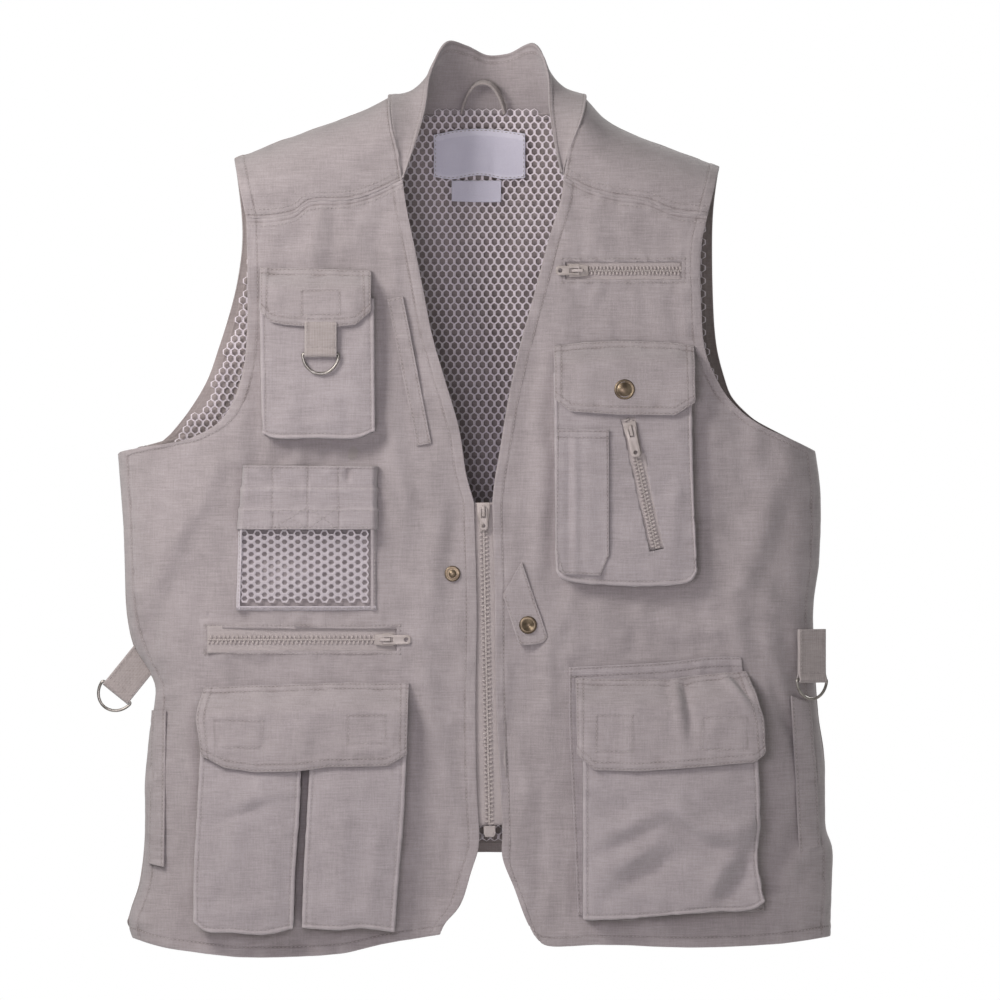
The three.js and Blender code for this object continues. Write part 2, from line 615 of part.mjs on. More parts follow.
// ---------------------------------------------------------------- pouches and flaps
function pouchGrid(edges, depth, lift, options = {}) {
  // An open tray: its front stands off by depth, and its sides and foot come back to what it is sewn on.
  const { ramp = 0.035, columns = 5, rows = 4 } = options;
  const wall = [0, ramp, 2.4 * ramp];
  const us = spread(columns, [], [...wall, ...wall.map((u) => 1 - u)]);
  const vs = spread(rows, [], wall);
  const rise = (distance) => {
    if (distance >= 2.4 * ramp) {
      return 1;
    }
    return distance >= ramp ? 0.8 + (0.2 * (distance - ramp)) / (1.4 * ramp) : (0.8 * distance) / ramp;
  };
  return patch(edges, us, vs, (x, z, u, v) => {
    const stand = depth * Math.min(rise(u), rise(1 - u), rise(v));
    return frontPoint(x, z, SHELL_CLOTH / 2 + LAYER_GAP + lift + stand);
  });
}

function addPouch(name, edges, depth, lift = 0.2, options = {}) {
  add(name, clothFromGrid(pouchGrid(edges, depth, lift, options), POCKET_CLOTH), finish(POCKET_COLOUR));
}

function flapGrid(edges, stand, lift, run) {
  // A flap: sewn down along its top edge, it slopes out over the pouch and then hangs straight.
  const { stops } = path(edges.bottom);
  return patch(edges, spread(7, stops), [0, 0.25, 0.5, 0.7, 0.85, 1], (x, z, u) => {
    const below = path(edges.top).at(u)[1] - z;
    const share = THREE.MathUtils.clamp(below / run, 0, 1);
    return frontPoint(x, z, SHELL_CLOTH / 2 + lift + (stand - lift) * share * share * (3 - 2 * share));
  });
}

function addFlap(name, edges, stand, run, lift = 1) {
  add(name, clothFromGrid(flapGrid(edges, stand, lift, run), POCKET_CLOTH), finish(CLOTH_COLOUR));
}

function layer(name, outline, front, thickness, colour) {
  add(name, slab(outline, front, front + thickness), finish(colour));
}

const POUCH_FACE = -FRONT_DEPTH - SHELL_CLOTH / 2 - LAYER_GAP - 0.2;   // where a pouch of no depth would lie
const CHEST_FACE = POUCH_FACE - CHEST_POUCH_DEPTH;
const CHEST_FLAP_STAND = CHEST_POUCH_DEPTH + LAYER_GAP + FLAP_CLEARANCE;
const LOWER_FLAP_STAND = LOWER_POUCH_DEPTH + LAYER_GAP + FLAP_CLEARANCE;

function ringTab(name, ringName, x, y, z, lean, yaw, length, material, ringMaterial) {
  // A webbing tab folded round the bar of a D-ring. Its sewn end is at the top of the group.
  const group = new THREE.Group();
  group.position.set(x, y, z);
  group.rotation.set(0, lean, yaw, "ZYX");
  pattern.add(group);
  const eye = RING_WIRE_RADIUS + 0.5;
  const outer = eye + 1.2;
  const centre = -length + outer;
  const outline = new THREE.Shape();
  outline.moveTo(-0.8, 0);
  outline.lineTo(-0.8, centre + Math.sqrt(outer ** 2 - 0.64));
  const open = Math.acos(0.8 / outer);
  outline.absarc(0, centre, outer, Math.PI - open, open, false);
  outline.lineTo(0.8, 0);
  const bore = new THREE.Path();
  bore.absarc(0, centre, eye, 0, 2 * Math.PI, false);
  outline.holes.push(bore);
  const tab = new THREE.ExtrudeGeometry(outline, { depth: TAB_WIDTH, bevelEnabled: false, curveSegments: 12 });
  const axes = [new THREE.Vector3(0, 1, 0), new THREE.Vector3(0, 0, 1), new THREE.Vector3(1, 0, 0)];
  tab.applyMatrix4(new THREE.Matrix4().makeBasis(...axes)).translate(-TAB_WIDTH / 2, 0, 0);
  add(name, tab, material, group);
  const ring = [[-RING_HALF_WIDTH, 0], [-7, 0], [0, 0], [7, 0], [RING_HALF_WIDTH, 0]];
  for (let step = 1; step < 12; step += 1) {
    const angle = (Math.PI * step) / 12;
    ring.push([RING_HALF_WIDTH * Math.cos(angle), -RING_DROP * Math.sin(angle)]);
  }
  add(ringName, wireLoop(ring, RING_WIRE_RADIUS).translate(0, 0, centre), ringMaterial, group);
}

function addRightChestPocket() {
  addPouch("right_chest_pouch", {
    left: [[-175, 402], [-177, 508]],
    right: [[-87, 404], [-88, 508]],
    bottom: [[-175, 402], [-103, 400], [-87, 404]],
    top: [[-177, 508], [-88, 508]],
  }, CHEST_POUCH_DEPTH);
  addFlap("right_chest_flap", {
    left: [[-175.5, 498], [-177, 532]],
    right: [[-90.5, 498], [-90.5, 529]],
    bottom: [[-175.5, 498], [-171, 490], [-157, 487], [-117, 486], [-100, 489], [-90.5, 498]],
    top: [[-177, 532], [-134, 531], [-90.5, 529]],
  }, CHEST_FLAP_STAND, 18);
  layer("right_chest_flap_hook_patch", rectangle(-144, -115, 492, 506), CHEST_FACE - 1.9, 1, HOOK_TAPE_COLOUR);
  ringTab("right_chest_ring_tab", "right_chest_d_ring", -129.5, CHEST_FACE - 5.4, 511, 0, 0, 49,
    finish(CLOTH_COLOUR), finish(DARK_METAL_COLOUR, 0.4, 0.85));
}

function addPenPocket() {
  const outline = {
    left: [[-54.5, 393], [-78, 508]],
    right: [[-43.5, 395.5], [-65.5, 510]],
    bottom: [[-54.5, 393], [-43.5, 395.5]],
    top: [[-78, 508], [-65.5, 510]],
  };
  const grid = patch(outline, [0, 0.5, 1], spread(4), (x, z) => frontPoint(x, z, SHELL_CLOTH / 2 + 1.1));
  add("pen_pocket_welt", clothFromGrid(grid, POCKET_CLOTH), finish(CLOTH_COLOUR));
  layer("pen_pocket_bag", [[-150, 380], [-58, 380], [-80, 512], [-150, 512]], -39.6, 0.8, POCKET_COLOUR);
}

function addMeshPocket() {
  addPouch("mesh_pocket_body", {
    left: [[-196, 266], [-194, 327]],
    right: [[-86, 268], [-86, 327]],
    bottom: [[-196, 266], [-92, 265], [-86, 268]],
    top: [[-194, 327], [-86, 327]],
  }, MESH_POCKET_DEPTH);
  const band = {
    left: [[-194, 328], [-190, 378]],
    right: [[-86, 328], [-86, 377]],
    bottom: [[-194, 328], [-86, 328]],
    top: [[-190, 378], [-86, 377]],
  };
  const wall = [0, 0.035, 0.08];
  const us = spread(6, [], [...wall, ...wall.map((u) => 1 - u)]);
  const grid = patch(band, us, spread(2), (x, z, u) => {
    const share = Math.min(1, Math.min(u, 1 - u) / 0.035);
    return frontPoint(x, z, SHELL_CLOTH / 2 + LAYER_GAP + 0.2 + MESH_POCKET_DEPTH * share);
  });
  add("mesh_pocket_band", clothFromGrid(grid, POCKET_CLOTH), finish(POCKET_COLOUR));
}

function addRightLowerPocket() {
  addPouch("right_lower_pouch_outer", {
    left: [[-227, 22], [-225, 60], [-222, 111], [-219, 172]],
    right: [[-151, 17], [-149, 62], [-146, 111], [-144, 172]],
    bottom: [[-227, 22], [-198, 14], [-174, 13], [-151, 17]],
    top: [[-219, 172], [-144, 172]],
  }, LOWER_POUCH_DEPTH, 0.2, { ramp: 0.05, columns: 5 });
  addPouch("right_lower_pouch_inner", {
    left: [[-144, 18], [-143, 53], [-140, 102], [-136, 172]],
    right: [[-72, 15], [-68, 69], [-65, 111], [-62, 172]],
    bottom: [[-144, 18], [-116, 17], [-97, 18], [-72, 15]],
    top: [[-136, 172], [-62, 172]],
  }, LOWER_POUCH_DEPTH, 0.2, { ramp: 0.05, columns: 5 });
  addFlap("right_lower_flap", {
    left: [[-218, 152], [-221, 180], [-220, 205]],
    right: [[-63, 153], [-62, 179], [-61, 208]],
    bottom: [[-218, 152], [-204, 142], [-178, 139], [-134, 141], [-76, 144], [-63, 153]],
    top: [[-220, 205], [-157, 207], [-108, 208], [-61, 208]],
  }, LOWER_FLAP_STAND, 24, 1.4);
}

function addLeftChestPocket() {
  const turn = -Math.atan2(21.5, 99);
  const start = { x: 109.8, z: 415 };
  const chain = { length: 105, width: 12 };
  const cutter = block(-chain.width / 2 - 0.4, chain.width / 2 + 0.4, -8, 8, -chain.length - 0.4, 0.4);
  cutter.rotateY(turn).translate(start.x, CHEST_FACE, start.z);
  const pouch = clothFromGrid(pouchGrid({
    left: [[54, 296], [53, 450]],
    right: [[163, 296], [158, 373], [158, 450]],
    bottom: [[54, 296], [60, 289], [104, 285], [136, 285], [163, 296]],
    top: [[53, 450], [158, 450]],
  }, CHEST_POUCH_DEPTH, 0.2, { columns: 6 }), POCKET_CLOTH);
  add("left_chest_pouch", cut(pouch, cutter), finish(POCKET_COLOUR));
  addFlap("left_chest_flap", {
    left: [[53, 430], [52, 471]],
    right: [[161, 427], [161, 471]],
    bottom: [[53, 430], [65, 420], [100, 417.5], [147, 417], [161, 427]],
    top: [[52, 471], [76, 474], [104, 475], [143, 474], [161, 471]],
  }, CHEST_FLAP_STAND, 18);
  const metal = finish(BRASS_COLOUR, 0.4, 0.85);
  const flapFace = CHEST_FACE - FLAP_CLEARANCE - 1.4;
  add("flap_snap_cap", dome(8, 2.6).translate(107, flapFace, 437), metal);
  add("pouch_snap_stud", disc(6, 1).translate(107, CHEST_FACE - 1, 437), metal.clone());
  layer("tool_sleeve", [[54, 311], [60, 293], [88, 292], [95, 308], [95, 406], [54, 406]],
    CHEST_FACE - 2.4, 1.2, POCKET_COLOUR);
  addPocketZip("diagonal", start.x, CHEST_FACE, start.z, turn, chain.length, chain.width, false, 22, 3.4);
}

function addLeftLowerPocket() {
  const slip = {
    left: [[71, 27], [68, 111], [64, 180], [64, 221]],
    right: [[216, 30], [210, 65], [208, 126], [204, 180], [198, 228]],
    bottom: [[71, 27], [126, 27], [172, 29], [216, 30]],
    top: [[64, 221], [140, 225], [175, 229], [198, 228]],
  };
  const grid = patch(slip, spread(5), spread(5), (x, z) => frontPoint(x, z, SHELL_CLOTH / 2 + 1.3));
  add("left_lower_slip_pocket", clothFromGrid(grid, POCKET_CLOTH), finish(POCKET_COLOUR));
  addPouch("left_lower_pouch", {
    left: [[75, 25], [75, 178]],
    right: [[214, 38], [210, 65], [210, 126], [206, 178]],
    bottom: [[75, 25], [126, 27], [172, 31], [214, 38]],
    top: [[75, 178], [206, 178]],
  }, LOWER_POUCH_DEPTH - 2, SLIP_POCKET_LIFT - 1.6, { columns: 6 });
  addFlap("left_lower_flap", {
    left: [[71, 154], [69, 212]],
    right: [[213, 154], [212, 180], [202, 217]],
    bottom: [[71, 154], [84, 140], [120, 140], [164, 143], [206, 149], [213, 154]],
    top: [[69, 212], [141, 211], [169, 215], [202, 217]],
  }, LOWER_FLAP_STAND + 1, 24, 3.4);
}

function addStormTab() {
  const face = -FRONT_DEPTH - SHELL_CLOTH / 2;
  layer("storm_tab", [[27, 303], [47.5, 244], [25, 238], [12.5, 277]], face - 2.4, 1.6, CLOTH_COLOUR);
  const metal = finish(BRASS_COLOUR, 0.4, 0.85);
  const socket = cut(disc(7, 2.2), disc(2.6, 1.4).translate(0, -1.2, 0));
  add("storm_tab_socket", socket.translate(32, face - 2.7, 253.5), metal);
  const stud = joined(disc(6.2, 1.4), disc(2.2, 3.4));
  add("storm_tab_stud", stud.translate(-27, face - 0.3, 293.5), metal.clone());
}

function addHandPocket(name, welt, bag) {
  const grid = patch(welt, [0, 0.35, 0.7, 1], spread(6), (x, z) => frontPoint(x, z, SHELL_CLOTH / 2 + 1.2));
  add(`${name}_hand_pocket_welt`, clothFromGrid(grid, POCKET_CLOTH), finish(CLOTH_COLOUR));
  const lining = patch(bag, spread(5), [0, 0.5, 1], (x, z) => frontPoint(x, z, -7));
  add(`${name}_hand_pocket_bag`, clothFromGrid(lining, LINING_CLOTH), finish(POCKET_COLOUR));
}

function addSides() {
  addHandPocket("right", {
    left: [[-263, 66], [-262, 145], [-260, 186]],
    right: [[-251, 64], [-249, 186]],
    bottom: [[-263, 66], [-251, 64]],
    top: [[-260, 186], [-249, 186]],
  }, {
    left: [[-242, 30], [-242, 200]],
    right: [[-150, 30], [-150, 200]],
    bottom: [[-242, 30], [-150, 30]],
    top: [[-242, 200], [-150, 200]],
  });
  addHandPocket("left", {
    left: [[243, 76], [236, 198]],
    right: [[259, 80], [257, 120], [251, 192]],
    bottom: [[243, 76], [259, 80]],
    top: [[236, 198], [251, 192]],
  }, {
    left: [[140, 30], [140, 200]],
    right: [[232, 30], [232, 200]],
    bottom: [[140, 30], [232, 30]],
    top: [[140, 200], [232, 200]],
  });
  const webbing = finish(CLOTH_COLOUR);
  const wire = finish(DARK_METAL_COLOUR, 0.4, 0.85);
  ringTab("right_side_strap", "right_side_ring", -275.5, 0, 219.3, THREE.MathUtils.degToRad(39), 0, 27, webbing, wire);
  ringTab("left_side_strap", "left_side_ring", 254, -27, 250, 0, THREE.MathUtils.degToRad(32), 42, webbing.clone(), wire.clone());
}

addShell();
addNeckPieces();
addZips();
addRightChestPocket();
addPenPocket();
addMeshPocket();
addRightLowerPocket();
addLeftChestPocket();
addLeftLowerPocket();
addStormTab();
addSides();

export default vest;
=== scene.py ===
"""Fishing vest: the sewn cloth, nets, zips, webbing and metal trims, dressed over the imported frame.

Lengths inside the builders are millimetres in pattern coordinates, with x = 0 at the front zip and z = 0 at
the hem. They become metres in the frame's own axes when a mesh is made.
"""

import logging
import math
from dataclasses import dataclass, field
from enum import Enum

import bmesh
import bpy
import numpy as np
from mathutils import Matrix, Vector


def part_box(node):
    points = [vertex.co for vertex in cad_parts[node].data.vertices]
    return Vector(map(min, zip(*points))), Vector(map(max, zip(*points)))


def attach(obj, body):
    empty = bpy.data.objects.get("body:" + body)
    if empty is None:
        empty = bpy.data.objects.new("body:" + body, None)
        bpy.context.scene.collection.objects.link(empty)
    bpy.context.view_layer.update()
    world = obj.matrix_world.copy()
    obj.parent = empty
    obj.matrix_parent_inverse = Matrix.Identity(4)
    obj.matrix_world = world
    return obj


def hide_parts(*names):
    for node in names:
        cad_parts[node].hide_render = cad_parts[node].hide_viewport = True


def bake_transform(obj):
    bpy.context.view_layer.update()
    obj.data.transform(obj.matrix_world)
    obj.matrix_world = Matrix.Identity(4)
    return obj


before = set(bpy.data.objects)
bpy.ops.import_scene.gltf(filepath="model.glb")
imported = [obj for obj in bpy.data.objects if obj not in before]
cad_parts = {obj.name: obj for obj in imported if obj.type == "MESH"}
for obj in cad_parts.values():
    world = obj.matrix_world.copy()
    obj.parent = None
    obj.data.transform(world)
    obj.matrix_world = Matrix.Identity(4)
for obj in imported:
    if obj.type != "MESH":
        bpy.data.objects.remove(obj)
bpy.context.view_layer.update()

LOG = logging.getLogger("fishing_vest")
MM = 0.001
HOOK = np.array([-3.0, 24.0, 675.0])    # the frame's origin, in pattern coordinates
SHELL_CLOTH = 1.4
POCKET_CLOTH = 1.2
SHELL_FACE = 0.75                        # from the shell's middle surface to its outer face
SHELL_BODY = "shell"

Socket = bpy.types.NodeSocket
Thing = bpy.types.Object
MeshData = bpy.types.Mesh
Points = list[tuple[float, ...]]
Array = np.ndarray


class Side(Enum):
    """The wearer's two sides."""

    RIGHT = "right"
    LEFT = "left"


class Edge(Enum):
    """The four edges of a cloth piece."""

    LEFT = "left"
    RIGHT = "right"
    BOTTOM = "bottom"
    TOP = "top"


# ---------------------------------------------------------------- lines and patches
def to_row(points: Array) -> Array:
    """Pattern millimetres to metres in the frame."""
    return (np.asarray(points, float) - HOOK) * MM


def cad_box(node: str) -> tuple[Array, Array]:
    """Lowest and highest corners of a frame node, in pattern millimetres."""
    low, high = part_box(node)
    return np.array(low) / MM + HOOK, np.array(high) / MM + HOOK


def smooth_line(points: Points, per_span: int = 14) -> Array:
    """Runs a centripetal spline through the points.

    Args:
        points: The points, in two or three coordinates.
        per_span: Samples between neighbouring points.

    Returns:
        The dense line, one row for each sample.
    """
    knots = np.asarray(points, float)
    if len(knots) == 2:
        return knots
    padded = np.vstack([2 * knots[0] - knots[1], knots, 2 * knots[-1] - knots[-2]])
    spans = []
    for i in range(1, len(padded) - 2):
        a, b, c, d = padded[i - 1:i + 3]
        t1 = math.sqrt(np.linalg.norm(b - a))
        t2 = t1 + math.sqrt(np.linalg.norm(c - b))
        t3 = t2 + math.sqrt(np.linalg.norm(d - c))
        t = np.linspace(t1, t2, per_span, endpoint=False)[:, None]
        ab = (t1 - t) / t1 * a + t / t1 * b
        bc = (t2 - t) / (t2 - t1) * b + (t - t1) / (t2 - t1) * c
        cd = (t3 - t) / (t3 - t2) * c + (t - t2) / (t3 - t2) * d
        abc = (t2 - t) / t2 * ab + t / t2 * bc
        bcd = (t3 - t) / (t3 - t1) * bc + (t - t1) / (t3 - t1) * cd
        spans.append((t2 - t) / (t2 - t1) * abc + (t - t1) / (t2 - t1) * bcd)
    return np.vstack([*spans, knots[-1]])


class Line:
    """A line in the plane or in space, read by the share of its length."""

    def __init__(self, *runs: Points) -> None:
        """Joins the runs end to end. Each run is smooth, and the joins between runs are corners."""
        parts = [smooth_line(run) for run in runs]
        self.points = np.vstack([parts[0], *[part[1:] for part in parts[1:]]])
        steps = np.linalg.norm(np.diff(self.points, axis=0), axis=1)
        self.reach = np.concatenate([[0.0], np.cumsum(steps)])
        self.length = float(self.reach[-1])

    def at(self, shares: Array) -> Array:
        """Points at the given shares of the length."""
        distance = np.asarray(shares) * self.length
        return np.stack([np.interp(distance, self.reach, axis) for axis in self.points.T], axis=-1)


@dataclass
class Outline:
    """The four edges of a cloth piece, as lines that meet at its corners."""

    left: Line
    right: Line
    bottom: Line
    top: Line

    def patch(self, us: Array, vs: Array) -> Array:
        """Fills the outline.

        Args:
            us: Shares across, from the left edge.
            vs: Shares up, from the bottom edge.

        Returns:
            The Coons patch's points, rows up and columns across.
        """
        left, right = self.left.at(vs)[:, None], self.right.at(vs)[:, None]
        bottom, top = self.bottom.at(us)[None], self.top.at(us)[None]
        u, v = us[None, :, None], vs[:, None, None]
        low = (1 - u) * bottom[:, :1] + u * bottom[:, -1:]
        high = (1 - u) * top[:, :1] + u * top[:, -1:]
        return (1 - u) * left + u * right + (1 - v) * bottom + v * top - (1 - v) * low - v * high


def framed(node: str, left: Points, right: Points, bottom: Points, top: Points,
        sharp: bool = False) -> Outline:
    """An outline given as shares of a frame node's box, its points joined by curves or by sharp corners."""
    low, high = cad_box(node)
    span = high - low

    def placed(points: Points) -> Line:
        """One edge in pattern millimetres."""
        placed_points = [(low[0] + a * span[0], low[2] + b * span[2]) for a, b in points]
        if sharp:
            return Line(*[list(pair) for pair in zip(placed_points, placed_points[1:])])
        return Line(placed_points)

    return Outline(placed(left), placed(right), placed(bottom), placed(top))


FINE_STATIONS = (0.0, 0.7, 1.4, 2.1, 2.9, 3.8, 4.8, 5.8, 6.6, 7.4, 8.3, 9.5, 11.0)


def stations(length: float, step: float, low_fine: bool = True, high_fine: bool = True) -> Array:
    """Shares of a length, close together near the edges that carry seams.

    Args:
        length: The edge's length.
        step: The spacing away from the edges.
        low_fine: Whether the low end is fine.
        high_fine: Whether the high end is fine.

    Returns:
        Rising shares from 0 to 1.
    """
    fine = np.array(FINE_STATIONS)
    start = fine if low_fine else np.array([0.0])
    end = length - fine[::-1] if high_fine else np.array([length])
    count = max(2, round((end[0] - start[-1]) / step))
    middle = np.linspace(start[-1], end[0], count + 1)[1:-1]
    return np.concatenate([start, middle, end]) / length


# ---------------------------------------------------------------- the body of the vest
@dataclass(frozen=True)
class Tube:
    """The flattened tube that the shell follows, closed at the side seams and the shoulders."""

    front_depth: float = 42.0
    back_depth: float = 34.0
    roundness: float = 8.0
    shoulder_radius: float = 40.0
    neck_rise: float = 35.0
    neck_half_width: float = 76.0
    neck_height: float = 667.0
    seam_lap: float = 0.6
    right_side: Points = field(default_factory=lambda: [
        (-278, 8), (-281, 20), (-272, 51), (-268, 82), (-267, 129), (-264, 168),
        (-260, 206), (-275, 233), (-281, 257), (-285, 335), (-289, 388)])
    left_side: Points = field(default_factory=lambda: [
        (269, 9), (270, 55), (270, 78), (265, 94), (264, 147), (259, 184),
        (255, 264), (260, 304), (261, 359), (257, 389)])
    right_shoulder: Points = field(default_factory=lambda: [
        (-198, 618), (-160, 633), (-132, 643), (-99, 655), (-76, 667)])
    left_shoulder: Points = field(default_factory=lambda: [
        (182, 612), (150, 624), (118, 636), (94, 648), (76, 667)])

    def fullness(self, x: Array, z: Array) -> Array:
        """1 where the tube has its full depth, falling to 0 at the side seams and shoulder lines."""
        right, left = smooth_line(self.right_side), smooth_line(self.left_side)
        reach_right = -np.interp(z, right[:, 1], right[:, 0])
        reach_left = np.interp(z, left[:, 1], left[:, 0])
        share = np.clip(np.abs(x) / np.where(x < 0, reach_right, reach_left), 0, 1)
        across = np.sqrt(1 - share ** self.roundness)
        arm_right = smooth_line(self.right_shoulder)
        arm_left = smooth_line(self.left_shoulder)[::-1]
        shoulder = np.where(
            x < 0,
            np.interp(x, arm_right[:, 0], arm_right[:, 1]),
            np.interp(x, arm_left[:, 0], arm_left[:, 1]),
        )
        lifted = self.neck_height + self.neck_rise * (1 - (x / self.neck_half_width) ** 2)
        closing = np.where(np.abs(x) < self.neck_half_width, lifted, shoulder)
        below = np.clip((closing - z) / self.shoulder_radius, 0, 1)
        return across * np.sqrt(1 - (1 - below) ** 2)

    def front(self, x: Array, z: Array, out: Array | float = 0.0) -> Array:
        """Points of the fronts' middle surface, moved out along its normal."""
        step = 2.0
        y = self.seam_lap - (self.front_depth + self.seam_lap) * self.fullness(x, z)
        slope = self.front_depth * (self.fullness(x + step, z) - self.fullness(x - step, z)) / (2 * step)
        size = np.sqrt(slope ** 2 + 1)
        out = np.broadcast_to(out, x.shape)
        return np.stack([x - slope / size * out, y - out / size, z], axis=-1)

    def back(self, x: Array, z: Array, inward: float = 0.0) -> Array:
        """Points of the back's middle surface, moved towards the wearer."""
        deep = (self.back_depth + self.seam_lap) * self.fullness(x, z) - self.seam_lap
        y = np.maximum(deep - inward, -self.seam_lap)
        return np.stack([x, y, z], axis=-1)


TUBE = Tube()


# ---------------------------------------------------------------- folds, crumple and hems
class Crumple:
    """Smooth seeded noise over the plane, the same on every run."""

    def __init__(self, seed: int) -> None:
        """Draws the lattice of slopes."""
        angles = np.random.default_rng(seed).uniform(0, 2 * math.pi, (64, 64))
        self.slopes = np.stack([np.cos(angles), np.sin(angles)], axis=-1)

    def at(self, a: Array, b: Array) -> Array:
        """Noise from about -1 to 1, with features about one unit across."""
        a0, b0 = np.floor(a).astype(int), np.floor(b).astype(int)
        fa, fb = a - a0, b - b0
        wa, wb = fa * fa * (3 - 2 * fa), fb * fb * (3 - 2 * fb)

        def corner(da: int, db: int) -> Array:
            """The slope of one lattice corner, read at the point."""
            slope = self.slopes[(a0 + da) % 64, (b0 + db) % 64]
            return slope[..., 0] * (fa - da) + slope[..., 1] * (fb - db)

        low = corner(0, 0) * (1 - wa) + corner(1, 0) * wa
        high = corner(0, 1) * (1 - wa) + corner(1, 1) * wa
        return 1.5 * (low * (1 - wb) + high * wb)


@dataclass(frozen=True)
class Fold:
    """A soft ridge or hollow laid on a piece, placed by shares of the piece's own outline."""

    across: float
    up: float
    angle: float
    length: float
    width: float
    height: float
    bend: float = 0.0

    def over(self, x: Array, z: Array, low: Array, span: Array) -> Array:
        """Height of the fold at each point, in millimetres."""
        dx = x - (low[0] + self.across * span[0])
        dz = z - (low[1] + self.up * span[1])
        turn = math.radians(self.angle)
        along = dx * math.cos(turn) + dz * math.sin(turn)
        aside = -dx * math.sin(turn) + dz * math.cos(turn) + self.bend * along ** 2 / self.length
        return self.height * np.exp(-(along / self.length) ** 2 - (aside / self.width) ** 2)


@dataclass(frozen=True)
class Hem:
    """A turned or bound edge: a thicker band with rows of stitches and the puckers they pull."""

    width: float = 6.5
    rise: float = 0.45
    rows: tuple[float, ...] = (1.6, 5.6)
    pucker: float = 0.6
    pitch: float = 7.5


@dataclass
class Weave:
    """How a piece's cloth lies: its large waves, small crumple and folds."""

    wave: float = 1.0
    wave_size: float = 90.0
    crumple: float = 0.25
    crumple_size: float = 17.0
    seed: int = 1
    folds: tuple[Fold, ...] = ()
    drape: float = 0.0


